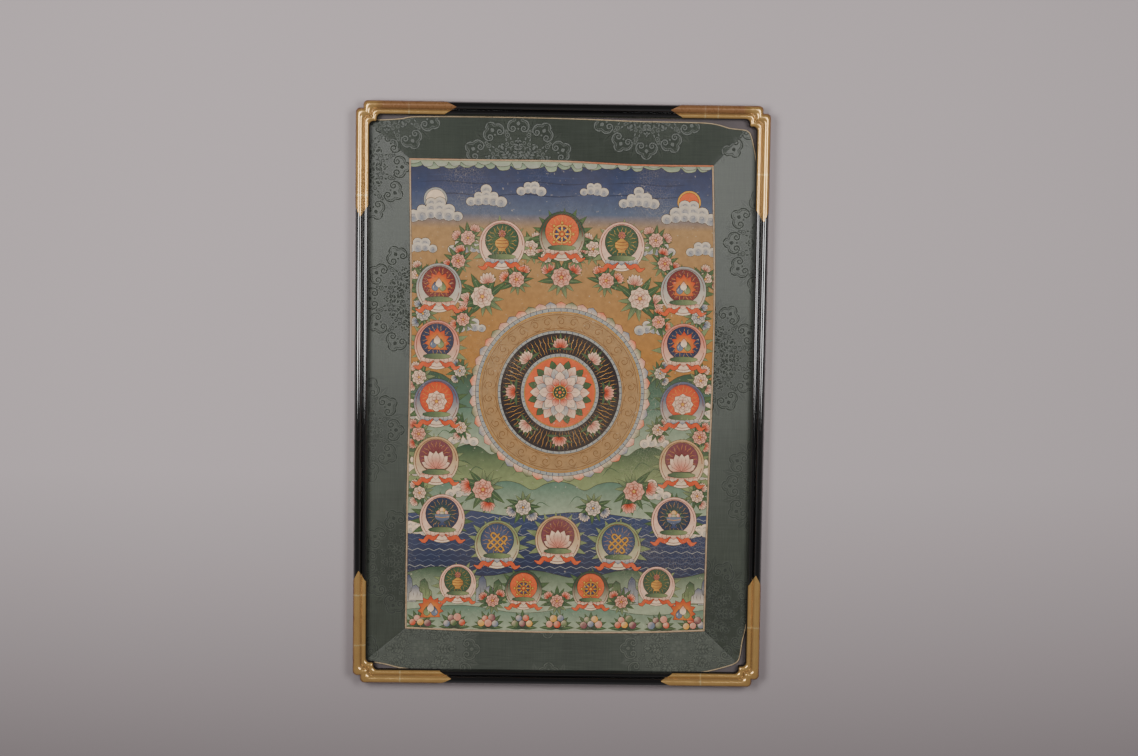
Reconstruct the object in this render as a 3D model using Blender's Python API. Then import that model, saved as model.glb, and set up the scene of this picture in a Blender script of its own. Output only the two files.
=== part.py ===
"""A painted cotton panel in its silk damask mount, laid flat in a lacquered and gilded frame.

The frame lies on its back. X runs to the picture's right, Y to its top and Z out of its face.
Lengths are in metres. The origin is the middle of the frame's back.
"""

import math

import bmesh
import bpy
from mathutils import Vector

# Clear space between neighbouring pieces: face to face, at each end of a mitred strip, and
# along a rail at a gilded point
GAP = 0.0003
MITRE_GAP = 0.00025
POINT_GAP = 0.0007

# Frame, over its outer edges, and its moulding
FRAME_WIDTH = 0.605
FRAME_HEIGHT = 0.860
MOULDING_WIDTH = 0.0205
MOULDING_DEPTH = 0.024
OUTER_WALL = 0.0165
LOBE_HALF = 0.0062
GROOVE_HEIGHT = 0.0184
BEAD_CENTRE = 0.0158
BEAD_HALF = 0.0034
BEAD_BASE = 0.0173
BEAD_TOP = 0.0208
SIGHT_START = 0.0188
SIGHT_HEIGHT = 0.0135

# The recess under the moulding's inner lip, which holds the board and the cloth
RABBET_START = 0.013
LIP_UNDERSIDE = 0.0095

# Indented corners
CORNER_STEP = 0.011
CORNER_RADIUS = 0.0065
OUTER_NOTCH_RADIUS = 0.0006
INNER_NOTCH_RADIUS = 0.0025
ARC_STEPS = 4

# Gilding along each leg of a corner: at its shoulders, and at the tip of its point
TIP_DISTANCE = 0.0084
INNER_SHOULDER_DISTANCE = 0.0183
GILT_ACROSS = {"shoulder": 0.130, "tip": 0.147}
GILT_DOWN = {"shoulder": 0.153, "tip": 0.169}

# Distances from the outer edge at which the moulding's face is drawn
FACE_STEPS = (
    0.0,
    0.0004,
    0.0013,
    0.0028,
    0.0045,
    0.0062,
    TIP_DISTANCE,
    0.0100,
    0.0111,
    0.0119,
    0.0126,
    0.0134,
    0.0145,
    BEAD_CENTRE,
    0.0171,
    INNER_SHOULDER_DISTANCE,
    SIGHT_START,
    MOULDING_WIDTH,
)

# Backing board
BOARD_BACK = 0.001
BOARD_TOP = 0.0055
BOARD_CLEARANCE = 0.0005

# Cloth: thicknesses, strip widths and the slight ripple that it lies in
MOUNT_THICKNESS = 0.0012
CANVAS_THICKNESS = 0.0010
TRIM_THICKNESS = 0.0016
EDGING_WIDTH = 0.0024
BINDING_WIDTH = 0.0015
CLOTH_BASE = BOARD_TOP + GAP
RIPPLE = 0.0002
RIPPLE_WAVES = (
    {"along_x": 0.31, "along_y": 0.47},
    {"along_x": -0.53, "along_y": 0.39},
)

SIDES = ("top", "right", "bottom", "left")
STRIP_STATIONS = 34
STRIP_ROWS = 3
CANVAS_COLUMNS = 14
CANVAS_ROWS = 22

# Outer edge of the edging, side by side and clockwise from the top left corner, as (x, y)
PAINTING_EDGE = {
    "top": ((-0.225, 0.347), (-0.119, 0.347), (-0.006, 0.347), (0.108, 0.343), (0.221, 0.343)),
    "right": ((0.221, 0.343), (0.227, 0.146), (0.226, -0.005), (0.223, -0.151), (0.221, -0.349)),
    "bottom": ((0.221, -0.349), (0.125, -0.353), (0.0, -0.354), (-0.119, -0.353), (-0.226, -0.350)),
    "left": ((-0.226, -0.350), (-0.225, -0.157), (-0.223, -0.011), (-0.222, 0.140), (-0.225, 0.347)),
}

# Outer edge of the binding, uneven as it was cut, the same way round
CLOTH_EDGE = {
    "top": (
        (-0.287, 0.402),
        (-0.262, 0.403),
        (-0.236, 0.405),
        (-0.225, 0.4075),
        (-0.200, 0.4085),
        (-0.121, 0.4092),
        (-0.045, 0.4090),
        (0.031, 0.408),
        (0.107, 0.406),
        (0.186, 0.4055),
        (0.215, 0.4045),
        (0.231, 0.4015),
        (0.243, 0.398),
        (0.262, 0.396),
        (0.2685, 0.395),
    ),
    "right": (
        (0.2685, 0.395),
        (0.2725, 0.3925),
        (0.2755, 0.387),
        (0.279, 0.374),
        (0.282, 0.361),
        (0.285, 0.335),
        (0.287, 0.250),
        (0.287, 0.0),
        (0.287, -0.250),
        (0.2855, -0.320),
        (0.282, -0.347),
        (0.278, -0.364),
        (0.2755, -0.383),
        (0.2737, -0.391),
        (0.2705, -0.396),
    ),
    "bottom": (
        (0.2705, -0.396),
        (0.264, -0.3995),
        (0.247, -0.405),
        (0.222, -0.411),
        (0.190, -0.4135),
        (0.0, -0.4145),
        (-0.190, -0.4135),
        (-0.233, -0.410),
        (-0.254, -0.405),
        (-0.272, -0.402),
        (-0.286, -0.400),
    ),
    "left": (
        (-0.286, -0.400),
        (-0.2875, -0.200),
        (-0.288, 0.0),
        (-0.2875, 0.200),
        (-0.287, 0.402),
    ),
}


def clear_scene():
    """Removes every object that the file came with."""
    for item in list(bpy.data.objects):
        bpy.data.objects.remove(item, do_unlink=True)


def finish(name, colour, roughness, metallic=0.0):
    """A plain material of one colour."""
    material = bpy.data.materials.new(name)
    material.use_nodes = True
    shader = material.node_tree.nodes["Principled BSDF"]
    shader.inputs["Base Color"].default_value = (*colour, 1.0)
    shader.inputs["Roughness"].default_value = roughness
    shader.inputs["Metallic"].default_value = metallic
    return material


def add_object(name, bm, material, smooth=False):
    """Turns a finished bmesh into an object of the scene."""
    bmesh.ops.recalc_face_normals(bm, faces=bm.faces)
    mesh = bpy.data.meshes.new(name)
    bm.to_mesh(mesh)
    bm.free()
    mesh.materials.append(material)
    if smooth:
        mesh.shade_smooth()
        mesh.set_sharp_from_angle(angle=math.radians(42))
    bpy.context.scene.collection.objects.link(bpy.data.objects.new(name, mesh))


def plate(name, top, bottom, material, smooth=False):
    """Closes two grids of points of the same shape, a list of rows each, into one solid."""
    bm = bmesh.new()
    upper = [[bm.verts.new(point) for point in row] for row in top]
    lower = [[bm.verts.new(point) for point in row] for row in bottom]
    last_row = len(top) - 1
    last_column = len(top[0]) - 1
    for grid in (upper, lower):
        for row, following in zip(grid, grid[1:]):
            for k in range(last_column):
                bm.faces.new((row[k], row[k + 1], following[k + 1], following[k]))
    rim = [(0, k) for k in range(last_column)]
    rim += [(k, last_column) for k in range(last_row)]
    rim += [(last_row, k) for k in range(last_column, 0, -1)]
    rim += [(k, 0) for k in range(last_row, 0, -1)]
    for (a, b), (c, d) in zip(rim, rim[1:] + rim[:1]):
        bm.faces.new((upper[a][b], upper[c][d], lower[c][d], lower[a][b]))
    add_object(name, bm, material, smooth)


def bulge(distance, centre, half):
    """Height from 0 to 1 of a half-round of this centre and half width, or -1 outside it."""
    across = (distance - centre) / half
    return math.sqrt(1 - across * across) if abs(across) < 1 else -1.0


def face_height(distance):
    """Height of the moulding's face at a distance from the frame's outer edge."""
    if distance > SIGHT_START:
        share = (distance - SIGHT_START) / (MOULDING_WIDTH - SIGHT_START)
        return face_height(SIGHT_START) * (1 - share) + SIGHT_HEIGHT * share
    lobe = bulge(distance, LOBE_HALF, LOBE_HALF)
    bead = bulge(distance, BEAD_CENTRE, BEAD_HALF)
    heights = [OUTER_WALL if distance < LOBE_HALF else GROOVE_HEIGHT]
    if lobe >= 0:
        heights.append(OUTER_WALL + (MOULDING_DEPTH - OUTER_WALL) * lobe)
    if bead >= 0:
        heights.append(BEAD_BASE + (BEAD_TOP - BEAD_BASE) * bead)
    return max(heights)


def moulding_section():
    """The moulding's columns: distance and height of the face, then of the back below it."""
    columns = []
    for k, distance in enumerate(FACE_STEPS):
        if distance < RABBET_START:
            next_is_past = FACE_STEPS[k + 1] >= RABBET_START
            back = (RABBET_START if next_is_past else distance, 0.0)
        else:
            first_past = FACE_STEPS[k - 1] < RABBET_START
            back = (RABBET_START if first_past else distance, LIP_UNDERSIDE)
        columns.append(((distance, face_height(distance)), back))
    return columns


def gilt_length(leg, distance):
    """How far the gilding runs along a leg, at a distance from the frame's outer edge."""
    if distance <= TIP_DISTANCE:
        share = distance / TIP_DISTANCE
    else:
        share = (INNER_SHOULDER_DISTANCE - distance) / (INNER_SHOULDER_DISTANCE - TIP_DISTANCE)
    return leg["shoulder"] + (leg["tip"] - leg["shoulder"]) * max(share, 0.0)


def rounded(corner, back, ahead, radius):
    """Points of a right-angled corner, rounded, from the way back to the way ahead."""
    points = []
    for k in range(ARC_STEPS + 1):
        turn = math.radians(90 * k / ARC_STEPS)
        along_back = back * (radius * (1 - math.sin(turn)))
        along_ahead = ahead * (radius * (1 - math.cos(turn)))
        points.append(corner + along_back + along_ahead)
    return points


def indented_corner(distance):
    """The top right corner's bends at this distance inside the outer edge, from top to side."""
    left, up, right, down = Vector((-1, 0)), Vector((0, 1)), Vector((1, 0)), Vector((0, -1))
    reach = Vector((FRAME_WIDTH / 2, FRAME_HEIGHT / 2))
    bends = []
    for inset, notch_radius in ((0.0, OUTER_NOTCH_RADIUS), (MOULDING_WIDTH, INNER_NOTCH_RADIUS)):
        first = reach - Vector((CORNER_STEP + inset, inset))
        notch = reach - Vector((CORNER_STEP + inset, CORNER_STEP + inset))
        last = reach - Vector((inset, CORNER_STEP + inset))
        bends.append(
            rounded(first, left, down, CORNER_RADIUS)
            + rounded(notch, up, right, notch_radius)
            + rounded(last, left, down, CORNER_RADIUS)
        )
    share = distance / MOULDING_WIDTH
    return [outer.lerp(inner, share) for outer, inner in zip(*bends)]


def corner_line(distance):
    """The gilded corner's run at this distance: point of one leg, bends, point of the other."""
    x = FRAME_WIDTH / 2
    y = FRAME_HEIGHT / 2
    start = Vector((x - gilt_length(GILT_ACROSS, distance), y - distance))
    end = Vector((x - distance, y - gilt_length(GILT_DOWN, distance)))
    return [start, *indented_corner(distance), end]


def make_corner(name, mirror_x, mirror_y, material):
    """One gilded, indented corner of the frame."""
    top = []
    bottom = []
    for (face, face_z), (back, back_z) in moulding_section():
        top.append([(p.x * mirror_x, p.y * mirror_y, face_z) for p in corner_line(face)])
        bottom.append([(p.x * mirror_x, p.y * mirror_y, back_z) for p in corner_line(back)])
    plate(name, top, bottom, material, smooth=True)


def make_rail(name, side, leg, material):
    """One black rail between two gilded points, with a notch that takes each."""
    upright = side in ("left", "right")
    half_length = (FRAME_HEIGHT if upright else FRAME_WIDTH) / 2
    half_span = (FRAME_WIDTH if upright else FRAME_HEIGHT) / 2
    sign = 1 if side in ("top", "right") else -1

    def ends(distance, z):
        reach = half_length - gilt_length(leg, distance) - POINT_GAP
        off = sign * (half_span - distance)
        if upright:
            return [(off, -reach, z), (off, reach, z)]
        return [(-reach, off, z), (reach, off, z)]

    section = moulding_section()
    top = [ends(*face) for face, _ in section]
    bottom = [ends(*back) for _, back in section]
    plate(name, top, bottom, material, smooth=True)


def make_board(name, material):
    """The backing board, cut to the outline of the recess it lies in."""
    quarter = indented_corner(RABBET_START + BOARD_CLEARANCE)
    outline = []
    for mirror_x, mirror_y in ((1, 1), (1, -1), (-1, -1), (-1, 1)):
        run = quarter if mirror_x * mirror_y > 0 else quarter[::-1]
        outline += [(p.x * mirror_x, p.y * mirror_y, BOARD_BACK) for p in run]
    bm = bmesh.new()
    base = bm.faces.new([bm.verts.new(point) for point in outline])
    grown = bmesh.ops.extrude_face_region(bm, geom=[base])
    raised = [item for item in grown["geom"] if isinstance(item, bmesh.types.BMVert)]
    bmesh.ops.translate(bm, verts=raised, vec=(0, 0, BOARD_TOP - BOARD_BACK))
    add_object(name, bm, material)


def ripple(x, y):
    """How far the cloth stands off the board."""
    waves = [math.sin(math.tau * (x / w["along_x"] + y / w["along_y"])) for w in RIPPLE_WAVES]
    return RIPPLE * (len(waves) + sum(waves))


def sheet(name, grid, thickness, material):
    """A sheet of cloth over a grid of plan points, lying on the board."""
    bottom = [[(p.x, p.y, CLOTH_BASE + ripple(p.x, p.y)) for p in row] for row in grid]
    top = [[(x, y, z + thickness) for x, y, z in row] for row in bottom]
    plate(name, top, bottom, material)


def curve_through(table, stations):
    """Points on a smooth line through a table of points, closer together near its ends."""
    knots = [Vector(point) for point in table]
    along = [0.0]
    for a, b in zip(knots, knots[1:]):
        along.append(along[-1] + (b - a).length)
    slopes = []
    for k in range(len(knots)):
        low, high = max(k - 1, 0), min(k + 1, len(knots) - 1)
        slopes.append((knots[high] - knots[low]) / (along[high] - along[low]))
    points = []
    for k in range(stations + 1):
        share = k / stations
        at = along[-1] * (share - 0.5 * math.sin(math.tau * share) / math.tau)
        n = max(i for i in range(len(along) - 1) if along[i] <= at or i == 0)
        span = along[n + 1] - along[n]
        t = (at - along[n]) / span
        rise = t * t * (3 - 2 * t)
        points.append(
            knots[n] * (1 - rise)
            + knots[n + 1] * rise
            + slopes[n] * (span * t * (1 - t) ** 2)
            - slopes[n + 1] * (span * t * t * (1 - t))
        )
    return points


def closed_line(edge, stations):
    """The four sides of an edge table as one clockwise loop, each side's last point left out."""
    return [point for side in SIDES for point in curve_through(edge[side], stations[side])[:-1]]


def inset(loop, distance):
    """A clockwise loop moved inwards by a distance, its corners kept as corners."""
    moved = []
    for k, point in enumerate(loop):
        before = (point - loop[k - 1]).normalized()
        after = (loop[(k + 1) % len(loop)] - point).normalized()
        inward_before = Vector((before.y, -before.x))
        inward_after = Vector((after.y, -after.x))
        lean = (inward_before + inward_after) / (1 + inward_before.dot(inward_after))
        moved.append(point + lean * distance)
    return moved


def side_of(loop, side, stations, trim=0.0):
    """One side of a loop, corner to corner, with this much cut off at both its ends."""
    start = sum(stations[name] for name in SIDES[: SIDES.index(side)])
    points = [loop[(start + k) % len(loop)].copy() for k in range(stations[side] + 1)]
    points[0] += (points[1] - points[0]).normalized() * trim
    points[-1] += (points[-2] - points[-1]).normalized() * trim
    return points


def make_strips(kind, inner, outer, rows, thickness, material):
    """Four mitred strips of cloth between two loops."""
    stations = dict.fromkeys(SIDES, STRIP_STATIONS)
    for side in SIDES:
        near = side_of(inner, side, stations, MITRE_GAP)
        far = side_of(outer, side, stations, MITRE_GAP)
        grid = [[a.lerp(b, k / rows) for a, b in zip(near, far)] for k in range(rows + 1)]
        sheet(f"{kind}_{side}", grid, thickness, material)


def make_canvas(name, material):
    """The painted panel: a grid stretched between its four uneven edges."""
    stations = {
        "top": CANVAS_COLUMNS,
        "right": CANVAS_ROWS,
        "bottom": CANVAS_COLUMNS,
        "left": CANVAS_ROWS,
    }
    loop = inset(closed_line(PAINTING_EDGE, stations), EDGING_WIDTH + GAP)
    top = side_of(loop, "top", stations)
    right = side_of(loop, "right", stations)
    bottom = side_of(loop, "bottom", stations)[::-1]
    left = side_of(loop, "left", stations)[::-1]
    grid = []
    for j in range(CANVAS_ROWS + 1):
        down = j / CANVAS_ROWS
        row = []
        for i in range(CANVAS_COLUMNS + 1):
            across = i / CANVAS_COLUMNS
            between_ends = top[i].lerp(bottom[i], down)
            between_sides = left[j].lerp(right[j], across)
            corners = top[0].lerp(top[-1], across).lerp(bottom[0].lerp(bottom[-1], across), down)
            row.append(between_ends + between_sides - corners)
        grid.append(row)
    sheet(name, grid, CANVAS_THICKNESS, material)


def make_cloth():
    """The painted panel and everything sewn round it."""
    stations = dict.fromkeys(SIDES, STRIP_STATIONS)
    painting = closed_line(PAINTING_EDGE, stations)
    cloth = closed_line(CLOTH_EDGE, stations)
    make_canvas("painting_canvas", finish("painted cotton", (0.21, 0.24, 0.27), 0.75))
    make_strips(
        "edging",
        inset(painting, EDGING_WIDTH),
        painting,
        1,
        TRIM_THICKNESS,
        finish("edging silk", (0.42, 0.24, 0.12), 0.6),
    )
    make_strips(
        "mount",
        inset(painting, -GAP),
        inset(cloth, BINDING_WIDTH + GAP),
        STRIP_ROWS,
        MOUNT_THICKNESS,
        finish("green damask", (0.085, 0.10, 0.085), 0.6),
    )
    make_strips(
        "binding",
        inset(cloth, BINDING_WIDTH),
        cloth,
        1,
        TRIM_THICKNESS,
        finish("binding cotton", (0.43, 0.29, 0.16), 0.7),
    )


def make_frame():
    """The four black rails, the four gilded corners and the board behind the cloth."""
    lacquer = finish("black lacquer", (0.008, 0.007, 0.007), 0.18)
    gilding = finish("gold leaf", (0.75, 0.47, 0.14), 0.3, metallic=1.0)
    for side in SIDES:
        leg = GILT_DOWN if side in ("left", "right") else GILT_ACROSS
        make_rail(f"frame_rail_{side}", side, leg, lacquer)
    for level, mirror_y in (("top", 1), ("bottom", -1)):
        for side, mirror_x in (("left", -1), ("right", 1)):
            make_corner(f"frame_corner_{level}_{side}", mirror_x, mirror_y, gilding)
    make_board("backing_board", finish("grey brown board", (0.11, 0.085, 0.085), 0.85))


def main():
    """Models the whole piece."""
    clear_scene()
    make_frame()
    make_cloth()


main()
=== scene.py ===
"""Dresses the framed thangka painting: gilt and lacquered frame, damask mount, painted panel.

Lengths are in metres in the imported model's frame: X to the picture's right, Y to its top and Z
out of its face. Only the drawings on the cloth are laid out in millimetres.
"""

import logging
import math
import random
from collections.abc import Callable, Sequence
from dataclasses import dataclass, field, replace
from enum import Enum
from typing import Any

import bmesh
import bpy
import numpy as np
from mathutils import Matrix, Vector
from mathutils.geometry import delaunay_2d_cdt


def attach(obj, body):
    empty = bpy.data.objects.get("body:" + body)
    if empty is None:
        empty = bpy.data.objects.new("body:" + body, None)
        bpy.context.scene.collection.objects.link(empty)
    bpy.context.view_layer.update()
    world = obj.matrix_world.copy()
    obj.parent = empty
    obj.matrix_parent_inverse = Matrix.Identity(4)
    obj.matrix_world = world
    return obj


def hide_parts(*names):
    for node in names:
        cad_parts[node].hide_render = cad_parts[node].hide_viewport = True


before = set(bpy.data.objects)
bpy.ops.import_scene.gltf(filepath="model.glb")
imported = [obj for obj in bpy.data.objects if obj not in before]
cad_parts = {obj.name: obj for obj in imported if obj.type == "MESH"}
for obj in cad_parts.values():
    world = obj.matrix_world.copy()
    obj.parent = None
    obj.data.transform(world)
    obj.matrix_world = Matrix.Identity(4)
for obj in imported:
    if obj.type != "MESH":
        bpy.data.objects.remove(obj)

LOG = logging.getLogger("thangka")
BODY = "root"
MILLIMETRE = 0.001
SHORTEST = 1e-9
PLATE_CREASE = math.radians(40)
SHEET_CREASE = math.radians(50)

Points = np.ndarray
Colour = tuple[float, float, float]
Pair = tuple[float, float]
Rows = tuple[tuple[Pair, ...], ...]
Edges = dict[tuple[int, int], tuple[int, int]]
Socket = bpy.types.NodeSocket
Material = bpy.types.Material


def from_screen(red: int, green: int, blue: int) -> Colour:
    """A colour as a screen shows it, 0 to 255, as linear light."""
    levels = [level / 255 for level in (red, green, blue)]
    return tuple(x / 12.92 if x <= 0.04045 else ((x + 0.055) / 1.055) ** 2.4 for x in levels)


class Side(Enum):
    """The four sides of the picture, clockwise."""

    TOP = "top"
    RIGHT = "right"
    BOTTOM = "bottom"
    LEFT = "left"

    @property
    def upright(self) -> bool:
        """Whether this side runs up and down."""
        return self in (Side.LEFT, Side.RIGHT)

    @property
    def order(self) -> int:
        """The side's number, clockwise from the top."""
        return list(Side).index(self)


# Finishes


class Recipe:
    """A material and the nodes that feed its shader."""

    def __init__(self, name: str) -> None:
        """Starts a material.

        Args:
            name: what the finish is called.
        """
        self.material = bpy.data.materials.new(name)
        self.material.use_nodes = True
        self.tree = self.material.node_tree
        self.shader = self.tree.nodes["Principled BSDF"]
        self.coordinates = self.tree.nodes.new("ShaderNodeTexCoord")

    def node(self, kind: str, values: dict[Any, Any] | None = None, **settings: Any) -> bpy.types.Node:
        """Adds a node.

        Args:
            kind: Blender's name for the node, without its prefix.
            values: what goes into its sockets, a number, a colour or another socket.
            settings: its own options.

        Returns:
            The node.
        """
        made = self.tree.nodes.new("ShaderNode" + kind)
        for key, value in settings.items():
            setattr(made, key, value)
        for key, value in (values or {}).items():
            self.feed(made.inputs[key], value)
        return made

    def feed(self, socket: Socket, value: Any) -> None:
        """Links a socket to another, or sets it to a value."""
        if isinstance(value, Socket):
            self.tree.links.new(value, socket)
        else:
            socket.default_value = (*value, 1.0) if socket.type == "RGBA" and len(value) == 3 else value

    def shade(self, **inputs: Any) -> Material:
        """Feeds the shader's sockets, named with underscores, and returns the material."""
        for key, value in inputs.items():
            self.feed(self.shader.inputs[key.replace("_", " ").title().replace("Ior", "IOR")], value)
        return self.material

    def place(self, scale: Sequence[float] = (1.0, 1.0, 1.0), turn: float = 0.0) -> Socket:
        """Object coordinates, stretched and turned about Z by degrees."""
        values = {"Vector": self.coordinates.outputs["Object"], "Scale": tuple(scale)}
        values["Rotation"] = (0.0, 0.0, math.radians(turn))
        return self.node("Mapping", values).outputs["Vector"]

    def noise(self, scale: float, detail: float = 3.0, at: Any = None) -> Socket:
        """Cloudy noise from 0 to 1, in Object coordinates unless others are given."""
        where = at or self.coordinates.outputs["Object"]
        values = {"Vector": where, "Scale": scale, "Detail": detail, "Roughness": 0.55}
        return self.node("TexNoise", values).outputs["Fac"]

    def spread(self, value: Any, low: float, high: float, first: float = 0.0, last: float = 1.0) -> Any:
        """Maps low to first and high to last, held at both ends."""
        values = {0: value, 1: low, 2: high, 3: first, 4: last}
        return self.node("MapRange", values, clamp=True).outputs[0]

    def maths(self, operation: str, first: Any, second: Any = 0.0) -> Socket:
        """One sum of two numbers."""
        return self.node("Math", {0: first, 1: second}, operation=operation).outputs[0]

    def mix(self, share: Any, first: Any, second: Any, mode: str = "MIX") -> Socket:
        """Mixes two colours by a share from 0 to 1."""
        values = {0: share, 6: first, 7: second}
        return self.node("Mix", values, data_type="RGBA", blend_type=mode).outputs[2]

    def toned(self, colour: Any, tone: Any) -> Socket:
        """A colour made lighter or darker by a number."""
        grey = self.node("CombineColor", {0: tone, 1: tone, 2: tone}).outputs[0]
        return self.mix(1.0, colour, grey, "MULTIPLY")

    def axis(self, name: str) -> Socket:
        """One of the Object coordinates, X, Y or Z."""
        return self.node("SeparateXYZ", {0: self.coordinates.outputs["Object"]}).outputs[name]

    def attribute(self, name: str) -> bpy.types.Node:
        """The mesh's own attribute of this name."""
        return self.node("Attribute", attribute_name=name)

    def bump(self, height: Any, distance: float, strength: float = 1.0, under: Any = None) -> Any:
        """A normal from a height of 0 to 1 that stands for a distance in metres."""
        values = {"Height": height, "Distance": distance, "Strength": strength}
        if under is not None:
            values["Normal"] = under
        return self.node("Bump", values).outputs["Normal"]


@dataclass(frozen=True)
class Lacquer:
    """Black gloss lacquer over wood, rubbed thin and brown along its arrises."""

    colour: Colour = (0.004, 0.0035, 0.0035)
    rubbed: Colour = (0.03, 0.014, 0.01)
    roughness: float = 0.05

    def material(self) -> Material:
        """Makes the finish."""
        mix = Recipe("black_lacquer")
        across = mix.attribute("across").outputs["Fac"]
        arris = mix.spread(across, 0.0008, 0.0001)
        worn = mix.maths("MULTIPLY", arris, mix.spread(mix.noise(70.0), 0.45, 0.7, 0.0, 0.6))
        haze = mix.spread(mix.noise(38.0, 5.0), 0.35, 0.75, self.roughness, self.roughness + 0.04)
        dust = mix.spread(mix.noise(1900.0, 1.0), 0.74, 0.82, 0.0, 0.22)
        skin = mix.bump(mix.noise(60.0, 2.0), 0.00004, 0.12)
        return mix.shade(
            base_color=mix.mix(worn, self.colour, self.rubbed),
            roughness=mix.maths("ADD", haze, dust),
            normal=skin,
            specular_ior_level=0.7,
            coat_weight=1.0,
            coat_ior=1.6,
            coat_roughness=0.05,
        )


@dataclass(frozen=True)
class GoldLeaf:
    """Burnished leaf over red-brown bole, with its laps, and painted shade on the outer part of the top legs.
    """

    name: str
    laps_down: tuple[float, ...] = ()
    laps_across: tuple[float, ...] = ()
    lap_half: float = 0.0013
    leaf: Colour = (0.8, 0.51, 0.185)
    lap: Colour = (1.0, 0.8, 0.42)
    tarnish: Colour = (0.58, 0.34, 0.13)
    # painted shade: a darker, browner gold for the groove between lobe and bead
    groove: Colour = (0.6, 0.43, 0.21)
    bole: Colour = (0.2, 0.085, 0.025)
    # dark bole of the worn outer edge, also the colour of the painted shade on the top legs
    dark_bole_and_top_shade: Colour = (0.115, 0.032, 0.018)
    leg_start_x: float = 0.2805
    leg_start_y: float = 0.408
    hollow: tuple[Pair, Pair] = ((0.01, 0.0112), (0.0146, 0.0128))
    outer_edge: Pair = (0.003, 0.001)
    # painted shade on the inner face by the sight edge: near black and without metal across this span
    sight_edge: Pair = (0.019, 0.0194)
    # painted shade: how far the outer part of the top legs turns to dark bole, above these Y and inside these
    # |X|
    painted_top_shade: float = 0.75
    painted_top_shade_y: Pair = (0.4155, 0.4195)
    painted_top_shade_x: Pair = (0.275, 0.262)

    def lap_mask(self, mix: Recipe) -> Socket:
        """Where the laps cross the two legs, 0 to 1.

        Args:
            mix: the material being made.

        Returns:
            The mask's socket.
        """
        wobble = mix.spread(mix.noise(420.0, 3.0), 0.3, 0.7, -0.0006, 0.0006)
        total: Any = 0.0
        legs = (("Y", "X", self.leg_start_x, self.laps_down), ("X", "Y", self.leg_start_y, self.laps_across))
        for along, off, start, laps in legs:
            here = mix.spread(mix.maths("ABSOLUTE", mix.axis(off)), start, start + 0.0004)
            for spot in laps:
                away = mix.maths("SUBTRACT", mix.maths("ADD", mix.axis(along), wobble), spot)
                near = mix.spread(mix.maths("ABSOLUTE", away), self.lap_half, self.lap_half * 0.55)
                total = mix.maths("MAXIMUM", total, mix.maths("MULTIPLY", near, here))
        return total

    def material(self) -> Material:
        """Makes the finish."""
        mix = Recipe(self.name)
        across = mix.attribute("across").outputs["Fac"]
        patchy = mix.spread(mix.noise(46.0, 5.0), 0.38, 0.68)
        streaks = mix.spread(mix.noise(95.0, 4.0, mix.place((1.0, 1.0, 5.0))), 0.46, 0.72)
        # painted shade in the groove between the lobe and the bead
        groove = mix.maths("MULTIPLY", *(mix.spread(across, *span) for span in self.hollow))
        gold = mix.mix(mix.maths("MULTIPLY", patchy, 0.35), self.leaf, self.tarnish)
        gold = mix.mix(groove, gold, self.groove)
        gold = mix.mix(mix.maths("MULTIPLY", self.lap_mask(mix), 0.75), gold, self.lap)
        uneven = mix.maths("ADD", across, mix.spread(streaks, 0.0, 1.0, 0.0006, -0.0006))
        edge = mix.spread(uneven, *self.outer_edge)
        # painted shade on the outer part of the top legs, away from the corners, joined to the worn outer
        # edge
        painted_top_shade = mix.maths(
            "MULTIPLY",
            mix.spread(mix.axis("Y"), *self.painted_top_shade_y, 0.0, self.painted_top_shade),
            mix.spread(mix.maths("ABSOLUTE", mix.axis("X")), *self.painted_top_shade_x),
        )
        edge = mix.maths("MAXIMUM", edge, painted_top_shade)
        specks = mix.spread(mix.noise(700.0, 4.0), 0.64, 0.72, 0.0, 0.6)
        grain = mix.spread(mix.noise(2600.0, 2.0), 0.3, 0.7, 0.26, 0.52)
        rubbed = mix.maths("MAXIMUM", grain, mix.maths("MULTIPLY", specks, streaks))
        bare = mix.maths("MAXIMUM", edge, rubbed)
        # painted shade: the inner face by the sight edge is near black and without metal
        sight = mix.spread(across, *self.sight_edge)
        rough = mix.spread(mix.noise(130.0, 5.0), 0.3, 0.75, 0.09, 0.15)
        laid = mix.bump(mix.noise(110.0, 3.0), 0.0001, 0.1)
        colour = mix.mix(edge, mix.mix(rubbed, gold, self.bole), self.dark_bole_and_top_shade)
        metal = mix.maths("MULTIPLY", mix.maths("SUBTRACT", 1.0, bare), mix.maths("SUBTRACT", 1.0, sight))
        return mix.shade(
            base_color=mix.mix(sight, colour, (0.012, 0.008, 0.007)),
            metallic=metal,
            roughness=mix.maths("ADD", rough, mix.maths("MULTIPLY", bare, 0.22)),
            normal=laid,
        )


@dataclass(frozen=True)
class BareWood:
    """Unfinished softwood, as the back of the moulding shows."""

    light: Colour = (0.34, 0.21, 0.115)
    dark: Colour = (0.17, 0.092, 0.045)

    def material(self) -> Material:
        """Makes the finish."""
        mix = Recipe("bare_softwood")
        grain = mix.noise(60.0, 6.0)
        rings = mix.noise(900.0, 3.0)
        tone = mix.spread(mix.maths("ADD", grain, mix.maths("MULTIPLY", rings, 0.3)), 0.45, 0.85)
        return mix.shade(
            base_color=mix.mix(tone, self.light, self.dark),
            roughness=mix.spread(rings, 0.3, 0.7, 0.62, 0.82),
            normal=mix.bump(rings, 0.0002, 0.5),
        )


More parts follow.
